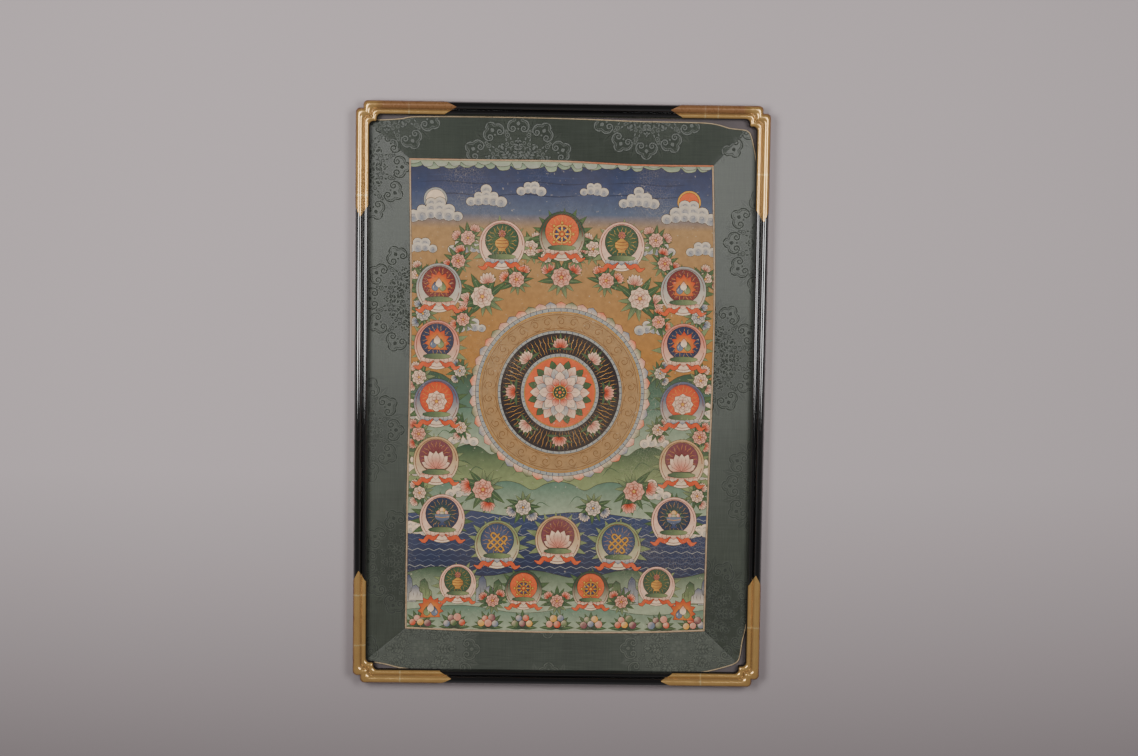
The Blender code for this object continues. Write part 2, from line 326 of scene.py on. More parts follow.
@dataclass(frozen=True)
class Board:
    """The board behind the cloth: grey-brown paper on its face, brown card on its back."""

    face: Colour = (0.085, 0.07, 0.072)
    back: Colour = (0.24, 0.165, 0.1)
    face_above: float = 0.0045

    def material(self) -> Material:
        """Makes the finish."""
        mix = Recipe("grey_brown_board")
        fibres = mix.noise(1400.0, 4.0)
        clouds = mix.spread(mix.noise(14.0, 5.0), 0.3, 0.75, 0.8, 1.15)
        front = mix.spread(mix.axis("Z"), self.face_above, self.face_above + 0.0002)
        plain = mix.mix(front, self.back, self.face)
        tone = mix.maths("MULTIPLY", clouds, mix.spread(fibres, 0.3, 0.7, 0.82, 1.12))
        return mix.shade(
            base_color=mix.toned(plain, tone),
            roughness=mix.spread(fibres, 0.3, 0.7, 0.82, 0.95),
            normal=mix.bump(fibres, 0.00018, 0.6),
        )


def weave(mix: Recipe, pitch: float, turn: float = 0.0) -> tuple[Any, Any]:
    """Crossed threads.

    Args:
        mix: the material being made.
        pitch: distance between threads, in metres.
        turn: how far the cloth is turned, in degrees.

    Returns:
        Heights of the threads along X and of those along Y, each 0 to 1.
    """
    # a wave texture of scale 1 repeats at this distance
    wave = 0.314
    heights = []
    for direction in ("Y", "X"):
        values = {"Vector": mix.place(turn=turn), "Scale": wave / pitch}
        values |= {"Distortion": 0.6, "Detail Scale": 0.4}
        heights.append(mix.node("TexWave", values, bands_direction=direction).outputs["Fac"])
    return heights[0], heights[1]


@dataclass(frozen=True)
class Damask:
    """Dark green silk, its figure woven tone on tone in threads that cross the ground's."""

    name: str
    ground: Colour
    figure: Colour
    # the painted relief lines beside the figure: painted highlight on the upright strips, painted shade on
    # the top and bottom ones
    painted_relief: Colour
    warp_upright: bool
    lustre: float = 0.46
    pitch: float = 0.00055

    def material(self) -> Material:
        """Makes the finish."""
        mix = Recipe(self.name)
        figure = mix.attribute("figure").outputs["Fac"]
        along_x, along_y = weave(mix, self.pitch)
        warp, weft = (along_y, along_x) if self.warp_upright else (along_x, along_y)
        stretch = (1.0, 0.035, 1.0) if self.warp_upright else (0.035, 1.0, 1.0)
        slubs = mix.spread(mix.noise(900.0, 3.0, mix.place(stretch)), 0.3, 0.72, 0.86, 1.15)
        cross = mix.spread(mix.noise(500.0, 2.0, mix.place(stretch[1::-1] + (1.0,))), 0.3, 0.7, 0.93, 1.07)
        faded = mix.spread(mix.noise(7.0, 4.0), 0.3, 0.75, 0.9, 1.13)
        tone = mix.maths("MULTIPLY", mix.maths("MULTIPLY", slubs, cross), faded)
        # painted relief lines, lighter or darker than the ground beside the figure
        painted_relief = mix.mix(mix.spread(figure, 0.35, 0.0), self.ground, self.painted_relief)
        thread = mix.mix(mix.spread(figure, 0.35, 0.65), painted_relief, self.figure)
        ribs = mix.node("Mix", {0: figure, 2: warp, 3: weft}, data_type="FLOAT").outputs[0]
        weft_side = mix.maths("GREATER_THAN", figure, 0.5)
        if not self.warp_upright:
            weft_side = mix.maths("SUBTRACT", 1.0, weft_side)
        across = mix.node("CombineXYZ", {0: mix.maths("SUBTRACT", 1.0, weft_side), 1: weft_side}).outputs[0]
        return mix.shade(
            base_color=mix.toned(thread, tone),
            roughness=mix.spread(slubs, 0.86, 1.15, 0.42, 0.5),
            normal=mix.bump(ribs, 0.00008, 0.35, mix.bump(mix.noise(22.0, 3.0), 0.0008, 0.3)),
            tangent=across,
            anisotropic=0.9,
            specular_ior_level=self.lustre,
        )


@dataclass(frozen=True)
class Silk:
    """A narrow folded strip of plain silk, with a second colour where it has kept its dye."""

    name: str
    plain: Colour
    bright: Colour
    bright_from: float = 10.0
    bright_to: float = 10.1

    def material(self) -> Material:
        """Makes the finish."""
        mix = Recipe(self.name)
        along_x, along_y = weave(mix, 0.00045, 45.0)
        faded = mix.spread(mix.noise(42.0, 4.0), 0.35, 0.7, 0.0, 0.35)
        dyed = mix.maths("ADD", mix.spread(mix.axis("X"), self.bright_from, self.bright_to), faded)
        grime = mix.spread(mix.noise(160.0, 4.0), 0.45, 0.8, 1.0, 0.55)
        colour = mix.mix(mix.maths("MINIMUM", dyed, 1.0), self.plain, self.bright)
        return mix.shade(
            base_color=mix.toned(colour, grime),
            roughness=mix.spread(grime, 0.55, 1.0, 0.75, 0.52),
            normal=mix.bump(mix.maths("MAXIMUM", along_x, along_y), 0.00015, 0.5),
            sheen_weight=0.2,
        )


@dataclass(frozen=True)
class Distemper:
    """Matt mineral paint on sized cotton, rubbed, crazed and a little soiled."""

    ground: Colour = (0.52, 0.43, 0.31)
    soil: Colour = (0.26, 0.18, 0.11)
    smoke: Colour = (0.97, 0.81, 0.68)
    thread: float = 0.0005
    craze: float = 260.0

    def material(self) -> Material:
        """Makes the finish."""
        mix = Recipe("painted_cotton")
        paint = mix.attribute("pigment")
        gilt = paint.outputs["Alpha"]
        strokes = mix.spread(mix.noise(120.0, 5.0), 0.3, 0.72, 0.84, 1.14)
        grains = mix.spread(mix.noise(1500.0, 2.0), 0.3, 0.7, 0.93, 1.07)
        tone = mix.maths("MULTIPLY", strokes, grains)
        laid = mix.toned(paint.outputs["Color"], tone)
        smoked = mix.mix(1.0, laid, self.smoke, "MULTIPLY")
        soiled = mix.mix(mix.spread(mix.noise(9.0, 5.0), 0.4, 0.8, 0.02, 0.14), smoked, self.soil)
        cells = mix.node(
            "TexVoronoi",
            {"Vector": mix.coordinates.outputs["Object"], "Scale": self.craze},
            feature="DISTANCE_TO_EDGE",
        ).outputs["Distance"]
        crazed = mix.spread(mix.noise(11.0, 3.0), 0.5, 0.66)
        cracks = mix.maths("MULTIPLY", mix.spread(cells, 0.035, 0.0), crazed)
        rubs = mix.spread(mix.noise(210.0, 6.0), 0.66, 0.74, 0.0, 0.5)
        bare = mix.maths("MAXIMUM", mix.maths("MULTIPLY", cracks, 0.35), rubs)
        along_x, along_y = weave(mix, self.thread)
        cloth = mix.bump(mix.maths("MAXIMUM", along_x, along_y), 0.0001, 0.45)
        matt = mix.spread(strokes, 0.84, 1.14, 0.74, 0.86)
        return mix.shade(
            base_color=mix.mix(bare, soiled, self.ground),
            metallic=mix.maths("MULTIPLY", mix.maths("SUBTRACT", 1.0, bare), gilt),
            roughness=mix.maths("SUBTRACT", matt, mix.maths("MULTIPLY", gilt, 0.4)),
            normal=mix.bump(mix.maths("SUBTRACT", grains, cracks), 0.00006, 0.5, cloth),
            specular_ior_level=0.25,
        )


@dataclass(frozen=True)
class StudioPaper:
    """The pale paper that the object lies on, with painted shade towards its right and below the picture."""

    colour: Colour = (0.446, 0.385, 0.392)
    # painted shade: the colour's share towards the right, between these X
    side: float = 0.9
    side_from: float = -0.6
    side_to: float = 0.9
    # painted shade: the colour's share below the picture, between these Y
    foot: float = 0.41
    foot_from: float = -0.12
    foot_to: float = -0.62

    def material(self) -> Material:
        """Makes the finish."""
        mix = Recipe("studio_paper")
        tooth = mix.noise(900.0, 3.0)
        tone = mix.spread(mix.noise(1.1, 2.0), 0.3, 0.7, 0.0, 1.0)
        plain = mix.mix(tone, self.colour, tuple(0.97 * c for c in self.colour))
        # painted shade, darker towards the right
        right = mix.spread(mix.axis("X"), self.side_from, self.side_to)
        plain = mix.mix(right, plain, tuple(self.side * c for c in self.colour))
        # painted shade, darker below the picture
        near = mix.spread(mix.axis("Y"), self.foot_from, self.foot_to)
        return mix.shade(
            base_color=mix.mix(near, plain, tuple(self.foot * c for c in self.colour)),
            roughness=0.9,
            normal=mix.bump(tooth, 0.0001, 0.2),
        )


# Pieces in general


@dataclass
class Piece:
    """One finished object of the visual model."""

    item: bpy.types.Object
    nodes: tuple[str, ...]
    slot: str

    def settle(self) -> None:
        """Gives the piece its body, hides the nodes that it stands for, and logs it."""
        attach(self.item, BODY)
        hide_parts(*self.nodes)
        faces = len(self.item.data.polygons)
        LOG.info("%s: %d faces, for %s", self.item.name, faces, ", ".join(self.nodes))


def link(name: str, mesh: bpy.types.Mesh, materials: Sequence[Material]) -> bpy.types.Object:
    """Puts a finished mesh into the scene with its materials."""
    for material in materials:
        mesh.materials.append(material)
    item = bpy.data.objects.new(name, mesh)
    bpy.context.scene.collection.objects.link(item)
    return item


def plate(
    name: str,
    upper: Sequence[Sequence[Sequence[float]]],
    lower: Sequence[Sequence[Sequence[float]]],
    materials: Sequence[Material],
    across: Sequence[float] = (),
) -> bpy.types.Object:
    """Closes two grids of points with the same rows and columns into one solid.

    Args:
        name: the piece's name.
        upper: rows of points of its face.
        lower: rows of points of its back.
        materials: its finish, and that of its back where it has another.
        across: a number for each row, kept as the attribute "across".

    Returns:
        The piece.
    """
    rows, columns = len(upper), len(upper[0])
    bm = bmesh.new()
    layer = bm.verts.layers.float.new("across")
    bmesh.ops.create_grid(bm, x_segments=columns - 1, y_segments=rows - 1, size=1.0)
    extruded = bmesh.ops.extrude_face_region(bm, geom=bm.faces[:])
    raised = {item for item in extruded["geom"] if isinstance(item, bmesh.types.BMVert)}
    for vert in bm.verts:
        row = round((vert.co.y + 1) / 2 * (rows - 1))
        column = round((vert.co.x + 1) / 2 * (columns - 1))
        vert.co = (upper if vert in raised else lower)[row][column]
        vert[layer] = across[row] if across else 0.0
    bmesh.ops.recalc_face_normals(bm, faces=bm.faces[:])
    if bm.calc_volume(signed=True) < 0.0:
        bmesh.ops.reverse_faces(bm, faces=bm.faces[:])
    bm.normal_update()
    if len(materials) > 1:
        for face in bm.faces:
            face.material_index = 1 if face.normal.z < -0.5 else 0
    mesh = bpy.data.meshes.new(name)
    bm.to_mesh(mesh)
    bm.free()
    mesh.shade_smooth()
    mesh.set_sharp_from_angle(angle=PLATE_CREASE)
    return link(name, mesh, materials)


# The frame


@dataclass(frozen=True)
class Moulding:
    """The moulding's section; distances run inwards from the frame's outer edge."""

    width: float = 0.0205
    depth: float = 0.024
    outer_wall: float = 0.0165
    lobe_half: float = 0.0062
    groove: float = 0.0184
    bead_centre: float = 0.0158
    bead_half: float = 0.0034
    bead_base: float = 0.0173
    bead_top: float = 0.0208
    sight_start: float = 0.0188
    sight_height: float = 0.0135
    rabbet_start: float = 0.013
    lip_underside: float = 0.0095
    lobe_steps: int = 30
    bead_steps: int = 18

    def height(self, distance: float) -> float:
        """Height of the face at a distance from the outer edge."""
        if distance > self.sight_start:
            share = (distance - self.sight_start) / (self.width - self.sight_start)
            return self.height(self.sight_start) * (1 - share) + self.sight_height * share
        heights = [self.outer_wall if distance < self.lobe_half else self.groove]
        rounds = (
            (self.lobe_half, self.lobe_half, self.outer_wall, self.depth),
            (self.bead_centre, self.bead_half, self.bead_base, self.bead_top),
        )
        for centre, half, base, top in rounds:
            off = (distance - centre) / half
            if abs(off) < 1:
                heights.append(base + (top - base) * math.sqrt(1 - off * off))
        return max(heights)

    def distances(self) -> list[float]:
        """Distances at which the face is drawn, closest together where it is steep."""
        lobe = [
            self.lobe_half * (1 - math.cos(math.pi * k / self.lobe_steps))
            for k in range(self.lobe_steps)
        ]
        bead = [
            self.bead_centre - self.bead_half * math.cos(math.pi * k / self.bead_steps)
            for k in range(self.bead_steps)
        ]
        steps = [d for d in lobe if d < self.bead_centre - self.bead_half]
        steps += [d for d in bead if d < self.sight_start - 0.0001]
        steps += [self.sight_start, self.sight_start + 0.0003, self.width - 0.0002, self.width]
        return steps

    def columns(self) -> list[tuple[Pair, Pair]]:
        """Distance and height of the face, and of the back below it, step by step."""
        steps = self.distances()
        columns = []
        for k, distance in enumerate(steps):
            if distance < self.rabbet_start:
                ends = steps[k + 1] >= self.rabbet_start
                back = (self.rabbet_start if ends else distance, 0.0)
            else:
                starts = steps[k - 1] < self.rabbet_start
                back = (self.rabbet_start if starts else distance, self.lip_underside)
            columns.append(((distance, self.height(distance)), back))
        return columns


@dataclass(frozen=True)
class Gilding:
    """How far the gilding runs along a leg, from the frame's outer corner."""

    shoulder: float
    tip: float
    tip_distance: float = 0.0084
    inner_shoulder: float = 0.0183

    def length(self, distance: float) -> float:
        """The gilding's length at a distance from the frame's outer edge."""
        if distance <= self.tip_distance:
            share = distance / self.tip_distance
        else:
            share = (self.inner_shoulder - distance) / (self.inner_shoulder - self.tip_distance)
        return self.shoulder + (self.tip - self.shoulder) * max(share, 0.0)


@dataclass
class Frame:
    """Four lacquered rails between four gilded, indented corners."""

    width: float = 0.605
    height: float = 0.86
    moulding: Moulding = Moulding()
    across: Gilding = Gilding(shoulder=0.13, tip=0.147)
    down: Gilding = Gilding(shoulder=0.153, tip=0.169)
    joint: float = 0.00006
    step: float = 0.011
    radius: float = 0.0065
    outer_notch: float = 0.0006
    inner_notch: float = 0.0025
    arc_steps: int = 14
    laps: dict[str, tuple[tuple[float, ...], tuple[float, ...]]] = field(
        default_factory=lambda: {
            "top_left": ((0.292,), (-0.225,)),
            "top_right": ((0.33,), (0.206, 0.225)),
            "bottom_left": ((-0.298, -0.373), (-0.232,)),
            "bottom_right": ((-0.34,), (0.215,)),
        }
    )

    def rounded(self, corner: Vector, back: Vector, ahead: Vector, radius: float) -> list[Vector]:
        """A right-angled corner, rounded, from its edge that lies back to the one ahead."""
        turns = [math.radians(90 * k / self.arc_steps) for k in range(self.arc_steps + 1)]
        return [
            corner + back * (radius * (1 - math.sin(turn))) + ahead * (radius * (1 - math.cos(turn)))
            for turn in turns
        ]

    def bends(self, distance: float) -> list[Vector]:
        """The top right corner's bends at a distance inside the outer edge, from top to side."""
        left, up, right, down = Vector((-1, 0)), Vector((0, 1)), Vector((1, 0)), Vector((0, -1))
        reach = Vector((self.width / 2, self.height / 2))
        lines = []
        for inset, notch in ((0.0, self.outer_notch), (self.moulding.width, self.inner_notch)):
            far = self.step + inset
            lines.append(
                self.rounded(reach - Vector((far, inset)), left, down, self.radius)
                + self.rounded(reach - Vector((far, far)), up, right, notch)
                + self.rounded(reach - Vector((inset, far)), left, down, self.radius)
            )
        share = distance / self.moulding.width
        return [outer.lerp(inner, share) for outer, inner in zip(*lines)]

    def corner_line(self, distance: float) -> list[Vector]:
        """A corner's run at a distance: point of one leg, bends, point of the other."""
        x, y = self.width / 2, self.height / 2
        start = Vector((x - self.across.length(distance), y - distance))
        end = Vector((x - distance, y - self.down.length(distance)))
        return [start, *self.bends(distance), end]

    def corner(self, level: str, side: str, wood: Material) -> Piece:
        """Makes one gilded corner.

        Args:
            level: top or bottom.
            side: left or right.
            wood: the bare wood of its back.

        Returns:
            The corner.
        """
        place = f"{level}_{side}"
        flip = (1 if side == "right" else -1, 1 if level == "top" else -1)
        down, across = self.laps[place]
        gold = GoldLeaf(f"gold_leaf_{place}", laps_down=down, laps_across=across).material()
        columns = self.moulding.columns()
        grids = [
            [[(p.x * flip[0], p.y * flip[1], z) for p in self.corner_line(d)] for d, z in line]
            for line in zip(*columns)
        ]
        item = plate(f"gilt_corner_{place}", *grids, (gold, wood), [face[0] for face, _ in columns])
        return Piece(item, (f"frame_corner_{place}",), "gilding")

    def rail(self, side: Side, black: Material, wood: Material) -> Piece:
        """Makes one black rail between two gilded points.

        Args:
            side: which side of the frame it is.
            black: its lacquer.
            wood: the bare wood of its back.

        Returns:
            The rail.
        """
        half_length = (self.height if side.upright else self.width) / 2
        half_span = (self.width if side.upright else self.height) / 2
        gilding = self.down if side.upright else self.across
        sign = 1 if side in (Side.TOP, Side.RIGHT) else -1

        def ends(distance: float, z: float) -> list[tuple[float, float, float]]:
            """The rail's two end points at a distance and a height."""
            reach = half_length - gilding.length(distance) - self.joint
            off = sign * (half_span - distance)
            if side.upright:
                return [(off, -reach, z), (off, reach, z)]
            return [(-reach, off, z), (reach, off, z)]

        columns = self.moulding.columns()
        grids = [[ends(d, z) for d, z in line] for line in zip(*columns)]
        item = plate(f"lacquer_rail_{side.value}", *grids, (black, wood), [face[0] for face, _ in columns])
        return Piece(item, (f"frame_rail_{side.value}",), "lacquer")

    def build(self) -> list[Piece]:
        """Makes the whole frame."""
        wood = BareWood().material()
        black = Lacquer().material()
        corners = [self.corner(*place.split("_"), wood) for place in self.laps]
        return corners + [self.rail(side, black, wood) for side in Side]


# Drawing on cloth


class Flat:
    """What has the same colour all over a shape."""

    def placed(self, place: "Place") -> "Flat":
        """The same colour anywhere."""
        return self

    def at(self, points: Points) -> Points:
        """The colour at each point, with how far it is gilded."""
        return np.tile(self.mixed, (len(points), 1))


class Hue(Flat, Enum):
    """The painter's colours, as the photo's light shows them."""

    INK = (44, 34, 33)
    LAMPBLACK = (40, 37, 42)
    NIGHT = (42, 52, 82)
    AZURITE = (54, 68, 106)
    SLATE = (82, 98, 126)
    SKY = (104, 122, 148)
    MIST = (148, 158, 160)
    CLOUD = (194, 192, 182)
    MALACHITE = (48, 78, 62)
    LEAF = (72, 102, 66)
    SPRING = (124, 144, 104)
    TEAL = (82, 118, 106)
    CELADON = (146, 166, 146)
    CINNABAR = (184, 70, 42)
    MINIUM = (204, 98, 60)
    MADDER = (106, 44, 46)
    PLUM = (112, 66, 78)
    ROSE = (194, 132, 118)
    BLUSH = (214, 176, 160)
    SHELL = (222, 208, 186)
    UMBER = (98, 64, 36)
    OCHRE = (160, 118, 62)
    TAN = (154, 130, 94)
    SAND = (178, 154, 116)
    YELLOW = (202, 156, 72)
    GOLD = (188, 146, 74)

    @property
    def mixed(self) -> tuple[float, float, float, float]:
        """The pigment as linear light, then how far it is gilded."""
        return (*from_screen(*self.value), 0.75 if self is Hue.GOLD else 0.0)


class Spread(Enum):
    """How a tint changes."""

    ALONG = "along a line"
    AROUND = "outwards from a point"


@dataclass(frozen=True)
class Place:
    """Where a motif stands in a drawing."""

    x: float = 0.0
    y: float = 0.0
    turn: float = 0.0
    size: float = 1.0
    mirror: bool = False

    def put(self, points: Any) -> Points:
        """Points of the motif moved to this place."""
        angle = math.radians(self.turn)
        flip = -self.size if self.mirror else self.size
        spin = np.array(((math.cos(angle), math.sin(angle)), (-math.sin(angle), math.cos(angle))))
        return (np.asarray(points, float) * (flip, self.size)) @ spin + (self.x, self.y)

    def within(
        self, x: float, y: float, turn: float = 0.0, size: float = 1.0, mirror: bool = False
    ) -> "Place":
        """A place given in this place's own coordinates."""
        spot = self.put([(x, y)])[0]
        lean = -turn if self.mirror else turn
        return Place(spot[0], spot[1], self.turn + lean, self.size * size, self.mirror != mirror)

    def halves(self) -> tuple["Place", "Place"]:
        """This place and its mirror image."""
        return self.within(0, 0), self.within(0, 0, mirror=True)


@dataclass(frozen=True)
class Tint:
    """A change from one pigment to another."""

    first: Hue
    last: Hue
    start: Pair = (0.0, 0.0)
    end: Pair = (0.0, 1.0)
    spread: Spread = Spread.ALONG

    def placed(self, place: Place) -> "Tint":
        """The same tint with its two points moved to a place."""
        start, end = place.put([self.start, self.end])
        return replace(self, start=tuple(start), end=tuple(end))

    def at(self, points: Points) -> Points:
        """The colour at each point, with how far it is gilded."""
        axis = np.subtract(self.end, self.start)
        away = points - self.start
        if self.spread is Spread.ALONG:
            share = away @ axis / (axis @ axis)
        else:
            share = np.linalg.norm(away, axis=1) / np.linalg.norm(axis)
        share = np.clip(share, 0.0, 1.0)[:, None]
        return np.array(self.first.mixed) * (1 - share) + np.array(self.last.mixed) * share


@dataclass(frozen=True)
class Thread(Flat):
    """How far a point of damask belongs to the figure, 0 to 1."""

    figure: float

    @property
    def mixed(self) -> tuple[float, float, float, float]:
        """The figure's share as a colour."""
        return (self.figure, self.figure, self.figure, 1.0)


# painted relief lines beside the figure, lighter or darker than the plain ground
PAINTED_RELIEF = Thread(0.0)
PLAIN = Thread(0.35)


@dataclass(frozen=True)
class Patch:
    """One flat shape of a drawing."""

    outline: Points
    tint: Any


def signed_area(outline: Points) -> float:
    """Area inside an outline, below zero if it runs clockwise."""
    following = np.roll(outline, -1, axis=0)
    return float(np.sum(outline[:, 0] * following[:, 1] - following[:, 0] * outline[:, 1])) / 2


def anticlockwise(outline: Points) -> Points:
    """The outline, turned round if it runs clockwise."""
    return outline if signed_area(outline) > 0 else outline[::-1]


def grown(outline: Points, distance: float) -> Points:
    """An anticlockwise outline moved outwards by a distance, a little less at its sharp corners."""
    sharpest = 0.45
    ahead = np.roll(outline, -1, axis=0) - outline
    ahead /= np.maximum(np.linalg.norm(ahead, axis=1, keepdims=True), SHORTEST)
    after = np.column_stack((ahead[:, 1], -ahead[:, 0]))
    before = np.roll(after, 1, axis=0)
    opened = 1 + np.sum(after * before, axis=1, keepdims=True)
    return outline + (after + before) / np.maximum(opened, sharpest) * distance


def petal(length: float, width: float, full: float = 1.3, bend: float = 0.0, steps: int = 6) -> Points:
    """A petal or leaf from its root at the origin to its tip up the Y axis.

    Args:
        length: root to tip.
        width: at its widest.
        full: above 1 puts the widest part towards the tip.
        bend: how far the tip leans to +X.
        steps: points down each side.

    Returns:
        Its outline.
    """
    share = np.linspace(0.0, 1.0, steps + 1)
    half = width / 2 * np.sin(math.pi * share**full)
    middle = bend * share**2
    right = np.column_stack((middle + half, length * share))
    left = np.column_stack((middle - half, length * share))
    return np.vstack((right, left[-2:0:-1]))


def disc(radius: float, steps: int = 20, x: float = 0.0, y: float = 0.0, squash: float = 1.0) -> Points:
    """A round shape."""
    turns = np.arange(steps) * math.tau / steps
    return np.column_stack((x + radius * np.cos(turns), y + radius * squash * np.sin(turns)))


def spiral(radius: float, turns: float, start: float = 0.0, steps: int = 14, core: float = 0.12) -> Points:
    """A line that winds out from near the origin.

    Args:
        radius: where it ends.
        turns: how often it goes round, negative for clockwise.
        start: direction of its outer end, in degrees.
        steps: points along it.
        core: its inner end as a share of the radius.

    Returns:
        Its points, the outer end last.
    """
    share = np.linspace(0.0, 1.0, steps)
    angle = math.radians(start) - math.tau * turns * (1 - share)
    reach = radius * (core + (1 - core) * share)
    return np.column_stack((reach * np.cos(angle), reach * np.sin(angle)))


def smooth(points: Any, steps: int = 4) -> Points:
    """A rounded line through a few points."""
    knots = np.asarray(points, float)
    padded = np.vstack((2 * knots[0] - knots[1], knots, 2 * knots[-1] - knots[-2]))
    line = []
    for k in range(len(knots) - 1):
        a, b, c, d = padded[k : k + 4]
        for t in np.arange(steps) / steps:
            line.append(
                b
                + 0.5 * t * (c - a)
                + t * t * (a - 2.5 * b + 2 * c - 0.5 * d)
                + t * t * t * (1.5 * (b - c) + 0.5 * (d - a))
            )
    return np.vstack((line, knots[-1]))


def ribbon(points: Points, width: float, taper: bool = True) -> Points:
    """A line given a width, and pointed ends if it tapers."""
    ahead = np.gradient(points, axis=0)
    ahead /= np.maximum(np.linalg.norm(ahead, axis=1, keepdims=True), SHORTEST)
    share = np.linspace(0.0, 1.0, len(points))
    swell = np.clip(np.sin(math.pi * share) * 1.6, 0.22, 1.0) if taper else np.ones(len(points))
    side = np.column_stack((-ahead[:, 1], ahead[:, 0])) * (width / 2 * swell)[:, None]
    return np.vstack((points - side, (points + side)[::-1]))


class Drawing:
    """Flat shapes in millimetres, the later ones over the earlier ones."""

    def __init__(self, line: Any = None) -> None:
        """Starts an empty drawing whose outlines have this tint."""
        self.patches: list[Patch] = []
        self.line = line

    def fill(self, place: Place, outline: Any, tint: Any, line: float = 0.0) -> None:
        """Adds a filled shape.

        Args:
            place: where it stands.
            outline: its points, in the place's coordinates.
            tint: its colour.
            line: width of the dark outline round it, in millimetres.
        """
        shape = anticlockwise(place.put(outline))
        if line:
            self.patches.append(Patch(grown(shape, line), self.line))
        self.patches.append(Patch(shape, tint.placed(place)))

    def stroke(self, place: Place, points: Any, width: float, tint: Any, taper: bool = True) -> None:
        """Adds a drawn line of a width in millimetres."""
        self.fill(place, ribbon(np.asarray(points, float), width, taper), tint)

    def ring(self, place: Place, count: int, radius: float, motif: Callable, turn: float = 0.0) -> None:
        """Repeats a motif round a circle, each one facing outwards.

        Args:
            place: the circle's centre.
            count: how many.
            radius: of the circle.
            motif: called with the place and the number of each.
            turn: the first one's direction, anticlockwise from the top in degrees.
        """
        for k in range(count):
            angle = turn + 360.0 * k / count
            x, y = -radius * math.sin(math.radians(angle)), radius * math.cos(math.radians(angle))
            motif(place.within(x, y, angle), k)


